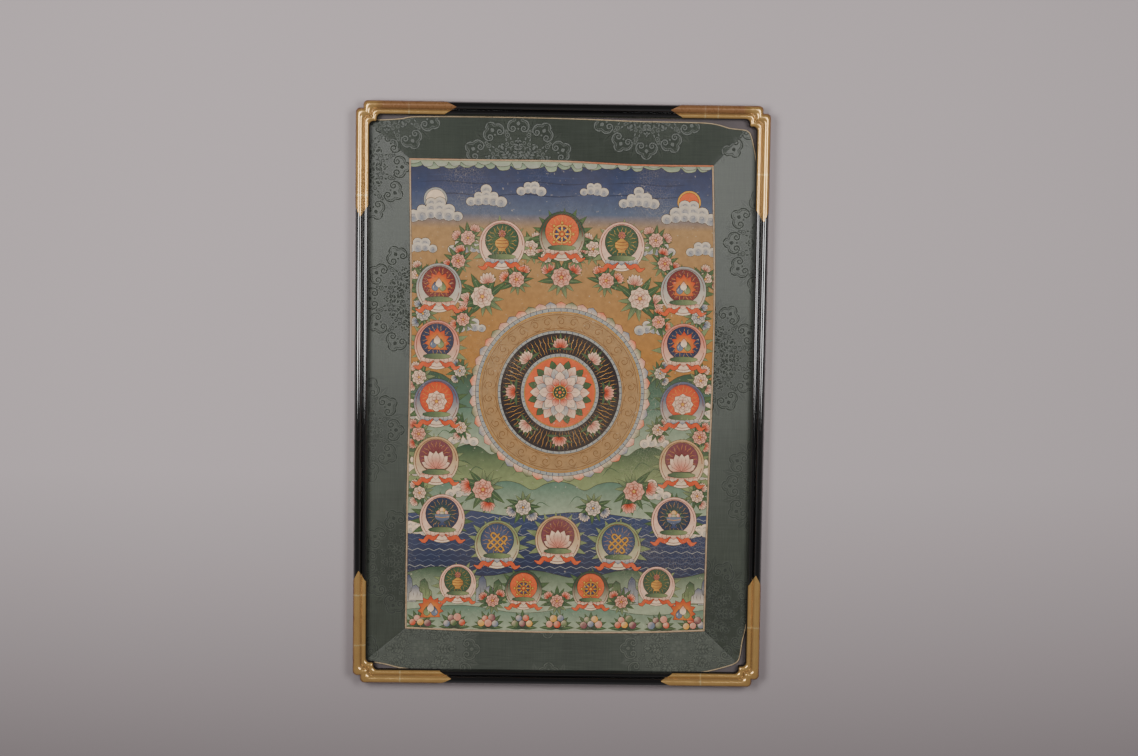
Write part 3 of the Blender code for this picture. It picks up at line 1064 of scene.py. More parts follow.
class MedallionCloth(Drawing):
    """Round medallions of cloud heads, leaves and flowers, as the damask is woven."""

    def __init__(self) -> None:
        """Prepares the figure's tones."""
        # its outlines are painted relief lines, lit or shaded according to the strip
        super().__init__(PAINTED_RELIEF)
        self.full = Thread(1)
        self.half = Thread(0.8)
        self.field = Thread(0.49)

    def cloud_head(self, place: Place) -> None:
        """One cloud head, 31 by 27 mm, from two spirals up to its three lobes."""
        for side in place.halves():
            curl = spiral(4.6, 1.35, -95, 13) + (8.2, 7.4)
            rest = smooth([(8, 2.8), (13.2, 4.6), (15.6, 10.5), (13.6, 17), (8.6, 19.8), (6.4, 20)])
            crown = smooth([(6.6, 19.6), (6.4, 23), (3.2, 25.8), (0, 26.9)])
            for width, tone in ((3.8, self.line), (2.1, self.full)):
                self.stroke(side, np.vstack((curl, rest[1:])), width, tone)
                self.stroke(side, crown, width, tone)
            inner = [(12.6, 7.6), (13.4, 11), (11.6, 15.4), (7.6, 17.6), (4.6, 18.6), (3.6, 22.4), (0, 24.2)]
            self.stroke(side, smooth(inner), 0.9, self.half)
        self.fill(place, petal(7, 5.8, 0.85) + (0, 11.4), self.full, 0.6)
        self.fill(place, disc(1.5, 8, 0, 7), self.full)

    def fringe(self, place: Place) -> None:
        """The pointed leaves between two cloud heads, outside them."""
        for turn, length, width in ((-26, 17, 6.4), (26, 17, 6.4), (0, 22, 9)):
            leaf = place.within(0, 2, turn)
            self.fill(leaf, petal(length, width, 0.9), self.field)
            self.stroke(leaf, [(0, 1), (0.3, length * 0.5), (0, length * 0.9)], 0.9, self.line)
        for x in (-2.6, 2.6):
            self.stroke(place, smooth([(x, -8), (x * 0.6, 2), (x * 1.9, 13)]), 1, self.full)

    def berry(self, place: Place) -> None:
        """A ring and its dots, inside the gap between two cloud heads."""
        self.fill(place, disc(3.4, 14), self.full)
        self.fill(place, disc(2.4, 12), PLAIN)
        self.fill(place, disc(1, 8), self.full)
        for x in (-4.6, 4.6):
            self.fill(place, disc(1.1, 7, x, 4.6), self.full)
        self.fill(place, disc(1.1, 7, 0, 7), self.full)

    def flower(self, place: Place, petals: int, reach: float) -> None:
        """A small flower of separate petals."""
        shape = petal(reach * 0.58, reach * 0.38, 1.1)
        self.ring(place, petals, reach * 0.42, lambda at, k: self.fill(at, shape, self.full))
        self.fill(place, disc(reach * 0.24, 9), self.full)

    def spray(self, place: Place, length: float, pairs: int) -> None:
        """A stem with leaves in pairs and a leaf at its end.

        Args:
            place: its foot.
            length: of the stem.
            pairs: of leaves.
        """
        self.stroke(place, [(0, 0), (0.4, length * 0.4), (0, length * 0.8)], 1.3, self.full)
        for k in range(pairs):
            up = length * (0.1 + 0.7 * k / pairs)
            for turn in (-48, 48):
                leaf = place.within(0, up, turn)
                self.fill(leaf, petal(9.6 - 0.9 * k, 4, 0.9, -turn / 34, 5), self.full, 0.7)
        self.fill(place.within(0, length * 0.76), petal(9, 4.4, 0.9, steps=5), self.full, 0.7)

    def tendrils(self, place: Place) -> None:
        """A pair of curls that part from one stem, with leaves on their backs."""
        for side in place.halves():
            stem = smooth([(0, -9), (1.2, -3), (6.2, -1.6), (9, 3)], 3)
            self.stroke(side, stem, 1.5, self.full)
            self.stroke(side, spiral(4.4, 1.3, -20, 13) + (5.2, 4.4), 1.5, self.full)
            for x, y, turn in ((9.6, 4, -60), (5.8, -2.2, -120), (4.6, 8.6, 10)):
                self.fill(side.within(x, y, turn), petal(7.4, 3.4, 0.9, 0.8, 4), self.full, 0.6)

    def medallion(self, place: Place) -> None:
        """One whole medallion, 93 mm in radius."""
        self.fill(place, disc(66, 40), self.field)
        self.ring(place, 12, 66, lambda at, k: self.fringe(at), 15)
        self.ring(place, 12, 61, lambda at, k: self.cloud_head(at))
        self.ring(place, 12, 60.5, lambda at, k: self.berry(at), 15)
        self.ring(place, 12, 22, lambda at, k: self.spray(at, 33 if k % 2 else 27, 4))
        self.ring(place, 12, 45, lambda at, k: self.tendrils(at.within(0, 0, size=0.8)), 15)
        self.ring(place, 6, 31, lambda at, k: self.flower(at, 8, 6), 15)
        self.ring(place, 6, 28, lambda at, k: self.tendrils(at.within(0, 0, 180, 0.6)), 45)
        self.flower(place, 10, 13)
        self.ring(place, 12, 16, lambda at, k: self.fill(at, petal(5, 2.8, 1, steps=4), self.full, 0.4))


# two pairs of colours that many motifs share, the lighter first
PINK = (Hue.SHELL, Hue.ROSE)
RED = (Hue.BLUSH, Hue.CINNABAR)


class PaintedPanel(Drawing):
    """A design of this kind's common motifs: a lotus mandala among roundels, over a landscape.

    It is laid out from numbers alone. The panel is 448 by 696 mm.
    """

    def __init__(self, seed: int = 11) -> None:
        """Starts the panel.

        Args:
            seed: of the small irregularities that a hand leaves.
        """
        super().__init__(Hue.INK)
        self.hand = random.Random(seed)
        self.middle = Place(0, 6)
        # leaves and petals longer than these, in millimetres, have their midribs drawn
        self.veined, self.ribbed = 26, 20

    def band(self, edge: Any, floor: float, tint: Tint, line: float = 0.6) -> None:
        """Fills from a wavy upper edge down to a level."""
        top = smooth(edge)
        left, right = top[0][0], top[-1][0]
        self.fill(Place(), np.vstack((top, [(right, floor), (left, floor)])), tint, line)

    def ground(self) -> None:
        """Sky, far plain, hills, lake and meadow."""
        wide = 232
        levels = (
            (352, 306, Hue.NIGHT, Hue.AZURITE),
            (306, 268, Hue.AZURITE, Hue.SLATE),
            (268, 246, Hue.SLATE, Hue.TAN),
            (246, 60, Hue.TAN, Hue.OCHRE),
            (60, -360, Hue.OCHRE, Hue.TAN),
        )
        for high, low, first, last in levels:
            tint = Tint(first, last, (0, high), (0, low))
            self.fill(Place(), [(-wide, high), (-wide, low), (wide, low), (wide, high)], tint)
        for k in range(4):
            level = 322 - 9 * k
            blue = Hue.NIGHT if k % 2 else Hue.AZURITE
            for x in (-150, -20, 120):
                drift = [(x - 60, level), (x - 20, level + 2), (x + 26, level - 1.5), (x + 64, level + 1)]
                self.stroke(Place(self.hand.uniform(-20, 20)), smooth(drift), 1.6, blue)
        rows = (
            (20, 15, 6, Hue.MALACHITE, Hue.TEAL),
            (-34, 16, 5, Hue.TEAL, Hue.CELADON),
            (-88, 15, 7, Hue.MALACHITE, Hue.SPRING),
            (-140, 13, 6, Hue.TEAL, Hue.CELADON),
        )
        for n, (level, rise, humps, top, foot) in enumerate(rows):
            steps = np.arange(4 * humps + 1)
            xs = np.linspace(-wide, wide, len(steps))
            ys = level + rise * np.abs(np.sin(np.pi * (steps + 2 * (n % 2)) / 4))
            self.band(list(zip(xs, ys)), level - 74, Tint(top, foot, (0, level + rise), (0, level - 40)))
            for k in range(0, len(xs) - 4, 4):
                for off in (2, 3.5):
                    x, y = float(xs[k] + (xs[k + 4] - xs[k]) * off / 5), level - 6 * off
                    crease = smooth([(x - 15, y - 9), (x - 4, y + 3), (x + 11, y - 4)])
                    self.stroke(Place(), crease, 0.9, Hue.MALACHITE)
        lake = [(-wide, -178), (-150, -170), (-60, -180), (40, -172), (140, -182), (wide, -174)]
        self.band(lake, -300, Tint(Hue.AZURITE, Hue.NIGHT, (0, -172), (0, -250)))
        for k in range(12):
            level = -182 - 8.2 * k
            xs = np.arange(-wide, wide + 1, 8) + (4 if k % 2 else 0)
            ys = level + np.where(np.arange(len(xs)) % 2, 2.2, -1.2)
            wave = Hue.SLATE if k % 3 else Hue.MIST
            self.stroke(Place(), np.column_stack((xs, ys)), 0.8, wave, False)
        shore = [(-wide, -268), (-176, -256), (-112, -270), (-38, -260)]
        shore += [(34, -272), (104, -258), (172, -270), (wide, -258)]
        self.band(shore, -360, Tint(Hue.MALACHITE, Hue.CELADON, (0, -256), (0, -300)))
        near = [(-wide, -322), (-140, -314), (-52, -325), (46, -315), (138, -326), (wide, -316)]
        self.band(near, -360, Tint(Hue.TEAL, Hue.CELADON, (0, -312), (0, -348)))

    def valance(self) -> None:
        """The pale green scalloped band along the top edge."""
        for depth, first, last in ((0, Hue.TEAL, Hue.CELADON), (-4.4, Hue.CELADON, Hue.MIST)):
            x = -234
            line = [(x, 352)]
            while x < 234:
                wide = self.hand.uniform(15, 30)
                drop = self.hand.uniform(330, 335.5) - depth
                line += [(x, 338.5 - depth), (x + wide * 0.28, drop + 0.8)]
                line += [(x + wide * 0.6, drop), (x + wide * 0.9, drop + 2)]
                x += wide
            line += [(x, 338 - depth)]
            edge = np.vstack((smooth(line[1:], 3), [(x, 352)], [line[0]]))
            self.fill(Place(), edge, Tint(first, last, (0, 344), (0, 332)), 0.6)

    def cloud(self, place: Place, lobes: int, inner: Hue, rim: Hue = Hue.CLOUD) -> None:
        """A bank of scalloped cloud: lit rims, darker hollows and a curl in each.

        Args:
            place: its middle.
            lobes: how many along its lower row.
            inner: colour of its hollows.
            rim: colour of its rims.
        """
        spots = []
        for row in range(3 if lobes > 4 else 2):
            count = max(lobes - 2 * row, 1)
            for k in range(count):
                x = (k - (count - 1) / 2) * 13
                lift = 4.5 * math.sin(math.pi * (k + 0.5) / count)
                spots.append((x, row * 9 + lift, 8.6 + self.hand.uniform(-1.2, 1.6)))
        for x, y, radius in spots:
            self.patches.append(Patch(anticlockwise(place.put(disc(radius + 0.8, 12, x, y, 0.9))), self.line))
        for x, y, radius in reversed(spots):
            self.fill(place, disc(radius, 12, x, y, 0.9), rim)
            shade = Tint(inner, rim, (x, y - radius * 0.5), (x, y + radius * 0.6), Spread.AROUND)
            self.fill(place, disc(radius * 0.8, 10, x, y - radius * 0.16, 0.9), shade)
            mark = place.within(x, y - radius * 0.1, mirror=x < 0)
            self.stroke(mark, spiral(radius * 0.52, 1, 200, 7), 0.7, Hue.SLATE)

    def leaves(
        self, place: Place, count: int, length: float, colour: Hue = Hue.LEAF, sweep: float = 150
    ) -> None:
        """A fan of long leaves with pale veins.

        Args:
            place: its root.
            count: how many leaves.
            length: of the longest.
            colour: of their tips.
            sweep: of the fan, in degrees.
        """
        order = sorted(range(count), key=lambda k: -abs(k - (count - 1) / 2))
        for k in order:
            lean = (k - (count - 1) / 2) * (sweep / count)
            reach = length * (1 - 0.0016 * abs(lean)) * self.hand.uniform(0.88, 1.08)
            at = place.within(0, 0, -lean)
            bend = lean * 0.06
            shade = Tint(Hue.MALACHITE, colour, (0, reach * 0.15), (0, reach))
            self.fill(at, petal(reach, reach * 0.25, 0.85, bend, 4), shade, 0.5)
            if length > self.veined:
                vein = [(0, reach * 0.15), (bend * 0.25, reach * 0.5), (bend * 0.8, reach * 0.88)]
                self.stroke(at, vein, 0.6, Hue.SPRING)

    def lotus(self, place: Place, size: float, rim: Hue, core: Hue) -> None:
        """A lotus blossom seen from the side.

        Args:
            place: its foot.
            size: its height.
            rim: colour of the petals' tips.
            core: colour of their roots.
        """
        leaf = petal(size * 0.62, size * 0.26, 0.9, steps=4)
        green = Tint(Hue.MALACHITE, Hue.LEAF, end=(0, size * 0.6))
        for turn in (-84, 84, -58, 58):
            self.fill(place.within(0, 0, turn), leaf, green)
        rows = ((-66, 0.82), (66, 0.82), (-42, 0.94), (42, 0.94), (-20, 1), (20, 1), (0, 0.96))
        for turn, share in rows:
            at = place.within(0, 0, turn)
            reach = size * share
            shade = Tint(core, rim, (0, reach * 0.3), (0, reach))
            self.fill(at, petal(reach, reach * 0.46, 1.35, steps=4), shade, 0.45)
            if size > self.ribbed:
                self.stroke(at, [(0, reach * 0.3), (0, reach * 0.55), (0, reach * 0.8)], 0.4, Hue.MADDER)

    def peony(self, place: Place, size: float, rim: Hue, core: Hue) -> None:
        """A full round blossom of three rings of petals."""
        for ring, (count, share) in enumerate(((8, 1), (7, 0.74), (5, 0.46))):
            reach = size * share

            def one(at: Place, k: int) -> None:
                """One petal of the ring."""
                shade = Tint(core, rim, (0, reach * 0.3), (0, reach * 0.95))
                self.fill(at, petal(reach, reach * 0.76, 1.9, steps=4), shade, 0.45)

            self.ring(place, count, 0, one, 20 * ring)
        self.fill(place, disc(size * 0.15, 9), Hue.YELLOW, 0.4)

    def bush(self, place: Place, size: float, rim: Hue, core: Hue, leaves: int = 8) -> None:
        """A large peony in a ring of leaves, with two buds.

        Args:
            place: the blossom's middle.
            size: the blossom's radius.
            rim: colour of its petals' tips.
            core: colour of their roots.
            leaves: how many in the ring.
        """
        self.leaves(place.within(0, -size * 0.4), leaves, size * 2.6, sweep=190)
        self.leaves(place.within(0, -size * 0.2, 180), 4, size * 1.9, Hue.SPRING, 110)
        for side in (-1, 1):
            self.lotus(place.within(side * size * 1.15, size * 0.55, -side * 34), size * 0.95, rim, core)
        self.peony(place, size, rim, core)

    def seat(self, place: Place, half: float, rim: Hue, core: Hue) -> None:
        """A row of lotus petals that carries a symbol."""
        for k in (-3, 3, -2, 2, -1, 1, 0):
            at = place.within(k * half / 3.4, -abs(k) * 0.35, 180 + k * 9)
            reach = 10 - 0.55 * abs(k)
            self.fill(at, petal(reach, 8.2, 1.2, steps=5), Tint(core, rim, (0, 1), (0, reach)), 0.45)
        cushion = Tint(Hue.MALACHITE, Hue.SPRING, (-half, 0), (half, 0))
        self.fill(place, disc(half, 16, 0, 0.8, 0.2), cushion, 0.45)

    def wheel(self, place: Place) -> None:
        """A wheel of eight spokes."""
        for radius, pigment in ((15, Hue.GOLD), (12.2, Hue.CINNABAR), (11, Hue.AZURITE)):
            self.fill(place, disc(radius, 24), pigment, 0.45)
        spoke, knob = petal(16.5, 3.4, 0.7, steps=4), petal(4.6, 4.6, 1.2, steps=4)
        self.ring(place, 8, 0, lambda at, k: self.fill(at, spoke, Hue.GOLD, 0.4))
        self.ring(place, 8, 15.4, lambda at, k: self.fill(at, knob, Hue.YELLOW, 0.4))
        for radius, pigment in ((4.6, Hue.CINNABAR), (2.6, Hue.YELLOW)):
            self.fill(place, disc(radius, 12), pigment, 0.4)

    def jewels(self, place: Place) -> None:
        """Three drops in a flame."""
        flame = []
        for k in range(17):
            angle = math.radians(-35 + 250 * k / 16)
            reach = (20 if k % 2 == 0 else 14.5) * (1 + 0.16 * math.sin(max(angle, 0)))
            flame.append((reach * math.cos(angle), reach * math.sin(angle)))
        self.fill(place, flame, Tint(Hue.YELLOW, Hue.CINNABAR, (0, 0), (0, 19), Spread.AROUND), 0.5)
        drops = (
            (-6, -3, Hue.SKY, Hue.AZURITE),
            (6, -3, Hue.SPRING, Hue.MALACHITE),
            (0, 3, *PINK),
        )
        for x, y, pigment, deep in drops:
            self.fill(place, petal(15, 10.5, 0.72) + (x, y - 6), Tint(pigment, deep, (x, y), (x, y + 9)), 0.5)
            gleam = [(x - 2.4, y - 1.6), (x - 2.8, y + 0.8), (x - 1.4, y + 3.4)]
            self.stroke(place, gleam, 0.9, Hue.SHELL)

    def vase(self, place: Place) -> None:
        """A round vase with a lid of leaves and a blossom."""
        half = smooth([(3.2, 11), (2.8, 8), (9.6, 3), (10.2, -4), (5, -10), (6.4, -13)], 3)
        body = np.vstack((half, half[::-1] * (-1, 1)))
        self.leaves(place.within(0, 9), 5, 13)
        self.fill(place, body, Tint(Hue.YELLOW, Hue.OCHRE, (-8, 0), (10, 0)), 0.5)
        for y, wide in ((4.2, 8.4), (-0.4, 10.3), (-6.4, 8.2)):
            self.stroke(place, [(-wide, y), (0, y - 1.2), (wide, y)], 0.9, Hue.MADDER, False)
        self.peony(place.within(0, 14.5), 6, Hue.ROSE, Hue.CINNABAR)

    def knot(self, place: Place) -> None:
        """A woven knot of crossing bands."""
        tilted = place.within(0, 0, 45)
        for width, pigment in ((3.8, Hue.INK), (2.6, Hue.GOLD)):
            for off in (-7.2, 0, 7.2):
                self.stroke(tilted, [(-12.5, off), (0, off), (12.5, off)], width, pigment, False)
                self.stroke(tilted, [(off, -12.5), (off, 0), (off, 12.5)], width, pigment, False)
            for x, y, start in ((-12.5, 3.6, 90), (12.5, -3.6, -90), (3.6, 12.5, 0), (-3.6, -12.5, 180)):
                turns = np.radians(start + np.linspace(0, 180, 8))
                loop = np.column_stack((x + 3.6 * np.cos(turns), y + 3.6 * np.sin(turns)))
                self.stroke(tilted, loop, width, pigment, False)

    def shell_jar(self, place: Place) -> None:
        """A footed jar of fruit on a cushion of leaves."""
        self.leaves(place.within(0, 0), 7, 17, Hue.SPRING)
        fruit = (
            (-5, 5, Hue.MINIUM),
            (5, 5, Hue.ROSE),
            (0, 9.5, Hue.YELLOW),
            (0, 3.5, Hue.SPRING),
        )
        for x, y, pigment in fruit:
            light = Tint(Hue.SHELL, pigment, (x - 1, y + 1), (x + 3, y - 2), Spread.AROUND)
            self.fill(place, disc(4.4, 12, x, y), light, 0.45)
        half = smooth([(12, 3), (10.5, -4), (3.4, -8.4), (3, -11), (7.4, -14.5)], 3)
        body = np.vstack((half, half[::-1] * (-1, 1)))
        self.fill(place, body, Tint(Hue.SKY, Hue.AZURITE, (0, 2), (0, -12)), 0.5)
        self.stroke(place, [(-11, -0.6), (0, -2.2), (11, -0.6)], 1.1, Hue.GOLD, False)

    def roundel(self, place: Place, order: int, size: float = 1) -> None:
        """A haloed disc with one symbol on a lotus seat.

        Args:
            place: its middle.
            order: picks its colours and its symbol.
            size: against the usual 34 mm radius.
        """
        halos = (
            (Hue.CINNABAR, Hue.MINIUM, Hue.MALACHITE),
            (Hue.LEAF, Hue.MALACHITE, Hue.BLUSH),
            (Hue.PLUM, Hue.MADDER, Hue.MIST),
            (Hue.AZURITE, Hue.NIGHT, Hue.ROSE),
            (Hue.MINIUM, Hue.CINNABAR, Hue.SLATE),
            (Hue.MADDER, Hue.PLUM, Hue.SAND),
            (Hue.MALACHITE, Hue.NIGHT, Hue.BLUSH),
            (Hue.SLATE, Hue.AZURITE, Hue.SPRING),
        )
        inner, outer, rim = halos[order % 8]
        place = place.within(0, 0, size=size)
        for turn in (58, -58):
            self.leaves(place.within(0, -4, turn), 6, 49, (Hue.LEAF, Hue.SPRING)[order % 2], 120)
        self.fill(place, disc(34, 32, 0, 0, 1.08), Tint(rim, Hue.SHELL, (0, 10), (0, -40)), 0.6)
        self.stroke(place, disc(31, 32, 0, 0, 1.08), 0.9, Hue.MADDER, False)
        self.fill(place, disc(25, 30, 0, 7), Tint(inner, outer, (0, 7), (0, 32), Spread.AROUND), 0.5)

        def ray(at: Place, k: int) -> None:
            """One wavy ray of gold."""
            sway = 0.9 if k % 2 else -0.9
            self.stroke(at, [(0, 0), (sway, 3.6), (-sway, 7.4), (0, 10.5)], 0.5, Hue.GOLD)

        self.ring(place.within(0, 7), 20, 13, ray)
        symbols = (self.wheel, self.jewels, self.shell_jar, self.vase, None, self.knot, self.jewels, None)
        symbol = symbols[(order * 3) % 8]
        if symbol:
            symbol(place.within(0, 3.5, size=0.95))
        elif order % 2:
            self.lotus(place.within(0, -12), 28, *PINK)
        else:
            self.peony(place.within(0, 2.5), 16, *PINK)
        seats = ((Hue.ROSE, Hue.SHELL), (Hue.SKY, Hue.CLOUD), PINK)
        self.seat(place.within(0, -18), 21, *seats[order % 3])
        for side in place.within(0, -23).halves():
            tail = smooth([(5, -1), (13, -8), (21, -5), (27, -12), (35, -9)], 3)
            self.fill(side, ribbon(tail, 6), Tint(Hue.CINNABAR, Hue.MINIUM, (4, -4), (33, -12)), 0.5)

    def ticks(self, place: Place, count: int, radius: float, length: float, width: float = 1) -> None:
        """Short blue strokes round a pale ring."""
        line = [(0, 0), (0, length / 2), (0, length)]
        self.ring(place, count, radius, lambda at, k: self.stroke(at, line, width, Hue.AZURITE, False))

    def mandala(self) -> None:
        """The large lotus mandala in the middle."""
        place = self.middle
        fringe = (Hue.MINIUM, Hue.SKY, Hue.ROSE, Hue.LEAF)

        def tongue(at: Place, k: int) -> None:
            """One petal of the outer lotus ring."""
            self.fill(at, petal(17, 18.5, 1.25), Tint(Hue.SHELL, fringe[k % 4], (0, 5), (0, 17)), 0.55)
            self.stroke(at, [(0, 5), (0, 9), (0, 14)], 0.6, Hue.MADDER)

        self.ring(place, 52, 117, tongue)
        self.fill(place, disc(124.5, 64), Hue.MIST, 0.7)
        self.ticks(place, 84, 120.2, 3.6)
        self.fill(place, disc(119.4, 64), Hue.GOLD, 0.5)
        ochre = Tint(Hue.OCHRE, Hue.TAN, (0, 0), (0, 118), Spread.AROUND)
        self.fill(place, disc(118, 64), ochre, 0.35)
        for radius in (115, 94.5):
            self.stroke(place, disc(radius, 64), 0.7, Hue.UMBER, False)

        def scroll(at: Place, k: int) -> None:
            """One pair of curls on the ochre ring."""
            side = at.within(0, 0, mirror=bool(k % 2))
            self.stroke(side, spiral(7, 1.25, 170, 12), 0.8, Hue.UMBER)
            self.stroke(side, smooth([(-7, 1), (-1, 8.2), (8.2, 5.4)], 3), 0.7, Hue.UMBER)
            self.stroke(side, smooth([(-6, -4), (0, -9.2), (8, -6.8)], 3), 0.7, Hue.UMBER)

        self.ring(place, 34, 104.8, scroll)
        self.fill(place, disc(91.5, 60), Hue.MIST, 0.6)
        self.ticks(place, 64, 88.2, 2.8)
        self.fill(place, disc(87.4, 60), Hue.LAMPBLACK, 0.6)

        def beam(at: Place, k: int) -> None:
            """One fine gold ray on the dark ring."""
            sway = 0.9 if k % 2 else -0.9
            self.stroke(at, [(0, 0), (sway, 7), (-sway, 15), (sway * 0.6, 22), (0, 27)], 0.6, Hue.GOLD)

        self.ring(place, 80, 58.5, beam)

        def bud(at: Place, k: int) -> None:
            """One blossom on the dark ring."""
            self.leaves(at.within(0, -7), 7, 22, Hue.LEAF, 190)
            rims = (RED, PINK)
            self.lotus(at.within(0, -6), 15, *rims[k % 2])

        self.ring(place, 8, 72, bud)
        self.fill(place, disc(57.5, 48), Hue.MIST, 0.6)
        self.ticks(place, 48, 53.6, 3.2, 0.9)
        self.fill(place, disc(52.8, 44), Hue.GOLD, 0.45)
        red = Tint(Hue.CINNABAR, Hue.MINIUM, (0, 0), (0, 52), Spread.AROUND)
        self.fill(place, disc(51.6, 44), red, 0.3)
        self.blossom(place)

    def blossom(self, place: Place) -> None:
        """The open lotus at the mandala's heart."""
        rows = (
            (12, 24, 24, 11, Hue.LEAF, Hue.MALACHITE, 15),
            (12, 16, 28, 14.5, *PINK, 0),
            (12, 11, 25, 13, Hue.CLOUD, Hue.SKY, 15),
            (8, 9, 22, 14, Hue.SHELL, Hue.BLUSH, 0),
            (8, 6, 16, 10.5, *RED, 22.5),
        )
        for count, root, reach, wide, rim, core, turn in rows:

            def one(at: Place, k: int) -> None:
                """One petal of the row."""
                self.fill(at, petal(reach, wide, 1.35), Tint(core, rim, (0, reach * 0.3), (0, reach)), 0.5)
                self.stroke(at, [(0, reach * 0.3), (0, reach * 0.6), (0, reach * 0.85)], 0.5, Hue.MADDER)

            self.ring(place, count, root, one, turn)
        for radius, pigment in ((10.6, Hue.GOLD), (9.2, Hue.MALACHITE)):
            self.fill(place, disc(radius, 24), pigment, 0.45)
        self.ring(place, 8, 5.8, lambda at, k: self.fill(at, disc(1.3, 8), Hue.YELLOW, 0.3))
        self.fill(place, disc(2.4, 10), Hue.MINIUM, 0.35)

    def sun_and_moon(self) -> None:
        """The two discs of the upper corners, half in cloud."""
        for x, pigment, halo in ((-186, Hue.SHELL, Hue.MIST), (186, Hue.MINIUM, Hue.YELLOW)):
            self.fill(Place(x, 288), disc(17, 28), halo, 0.5)
            self.fill(Place(x, 288), disc(14, 28), pigment, 0.5)
            self.cloud(Place(x, 262, mirror=x < 0), 6, Hue.SKY)

    def banks(self) -> None:
        """Clouds over the sky and between the hills."""
        over = ((112, 284, 0.85, 5), (46, 300, 0.75, 4), (206, 214, 0.85, 4), (140, 214, 0.8, 5))
        over += ((132, 98, 0.8, 4),)
        low = ((216, -34, 0.9, 5), (142, -70, 0.8, 4), (212, -118, 0.95, 5), (138, -148, 0.85, 5))
        low += ((214, -204, 0.8, 4),)
        for spots, colours in ((over, (Hue.SKY,)), (low, (Hue.MIST, Hue.SHELL))):
            for x, y, size, lobes in spots:
                for sign in (-1, 1):
                    self.cloud(Place(sign * x, y, size=size, mirror=sign < 0), lobes, *colours)

    def garden(self) -> None:
        """Leaves and blossoms behind and between the roundels."""
        spots = (
            (0, 176, 0, 15, *RED),
            (46, 218, -30, 12, *PINK),
            (116, 146, -42, 17, *PINK),
            (66, 172, -20, 12, Hue.BLUSH, Hue.MINIUM),
            (22, 206, 10, 9, *PINK),
            (138, 232, -20, 11, Hue.BLUSH, Hue.ROSE),
            (212, 176, -60, 10, *PINK),
            (152, 198, -50, 11, *RED),
            (203, 120, -80, 11, Hue.CLOUD, Hue.SKY),
            (144, 112, -60, 10, Hue.BLUSH, Hue.MINIUM),
            (208, 26, -80, 11, *PINK),
            (148, 36, -90, 9, Hue.SHELL, Hue.SKY),
            (208, -58, -90, 11, *RED),
            (146, -48, -100, 9, *PINK),
            (112, -140, -138, 16, *RED),
            (206, -146, -90, 10, *PINK),
            (52, -166, -168, 12, Hue.SHELL, Hue.SKY),
        )
        for x, y, turn, size, rim, core in spots:
            for sign in (-1, 1) if x else (1,):
                self.bush(Place(sign * x, y, sign * turn), size, rim, core)

    def foreground(self) -> None:
        """Treasure and rocks along the shore."""
        for x in (-208, -98, 98, 208):
            self.rock(Place(x, -304, size=1.05, mirror=x > 0))
        for x in (-96, 0, 96):
            self.bush(Place(x, -306, -x * 0.1), 10, *RED, 9)
        balls = (Hue.CINNABAR, Hue.SKY, Hue.YELLOW, Hue.LEAF, Hue.ROSE, Hue.PLUM)
        for group in range(9):
            centre = (group - 4) * 51
            self.leaves(Place(centre, -348), 9, 27, Hue.LEAF, 170)
            for k, (x, y) in enumerate(((-11, 0), (11, 0.5), (-5, 8), (5.5, 8.5), (0, 0.5))):
                x, y = centre + x + self.hand.uniform(-1, 1), -341 + y + self.hand.uniform(-1, 1)
                ball = balls[(k * 5 + group) % len(balls)]
                light = Tint(Hue.SHELL, ball, (x - 2, y + 2), (x + 2.5, y - 2), Spread.AROUND)
                self.fill(Place(), disc(5 + self.hand.uniform(-0.5, 0.7), 11, x, y), light, 0.5)
        for sign in (-1, 1):
            self.jewels(Place(sign * 188, -322, size=0.95, mirror=sign < 0))

    def rock(self, place: Place) -> None:
        """Steep blue and green rocks on the shore."""
        steps = ((-0.5, -0.15), (-0.46, 0.4), (-0.3, 0.52), (-0.26, 0.86), (0, 1))
        steps += ((0.2, 0.8), (0.26, 0.5), (0.46, 0.36), (0.5, -0.15))
        for x, width, height, first, last in (
            (-12, 20, 34, Hue.AZURITE, Hue.MIST),
            (10, 22, 28, Hue.MALACHITE, Hue.SPRING),
            (-2, 20, 19, Hue.SLATE, Hue.CLOUD),
        ):
            shape = [(x + width * a, height * b) for a, b in steps]
            self.fill(place, shape, Tint(last, first, (x, 0), (x, height)), 0.6)
            for a in (-0.22, 0.05, 0.28):
                crack = [(x + width * (a + b), height * c) for b, c in ((0, 0.05), (0.05, 0.3), (0.02, 0.55))]
                self.stroke(place, crack, 0.6, Hue.INK)

    def compose(self) -> list[Patch]:
        """Draws the whole panel and returns its patches."""
        self.ground()
        self.sun_and_moon()
        self.banks()
        self.valance()
        self.garden()
        self.mandala()
        # the middle of each roundel, the number that picks its colours, and its size
        spots = [(0, 236, 0, 0.98), (0, -214, 5, 0.98)]
        upper = ((88, 222), (180, 158), (182, 74), (182, -12), (182, -98), (172, -184), (90, -222))
        lower = ((50, -290), (148, -282))
        for n, (x, y) in enumerate(upper + lower):
            spots += [(sign * x, y, n + 1, 0.98 if n < len(upper) else 0.8) for sign in (-1, 1)]
        for x, y, order, size in spots:
            self.roundel(Place(x, y), order, size)
        self.foreground()
        return self.patches


# The cloth


@dataclass(frozen=True)
class Lie:
    """How the cloth lies on the board: close to it, in a slight ripple."""

    base: float = 0.0058
    ripple: float = 0.0002
    waves: tuple[Pair, ...] = ((0.31, 0.47), (-0.53, 0.39))

    def under(self, points: Points) -> Points:
        """Heights of the cloth's underside at plan points in metres."""
        rises = [np.sin(math.tau * (points[:, 0] / x + points[:, 1] / y)) for x, y in self.waves]
        return self.base + self.ripple * (len(rises) + sum(rises))


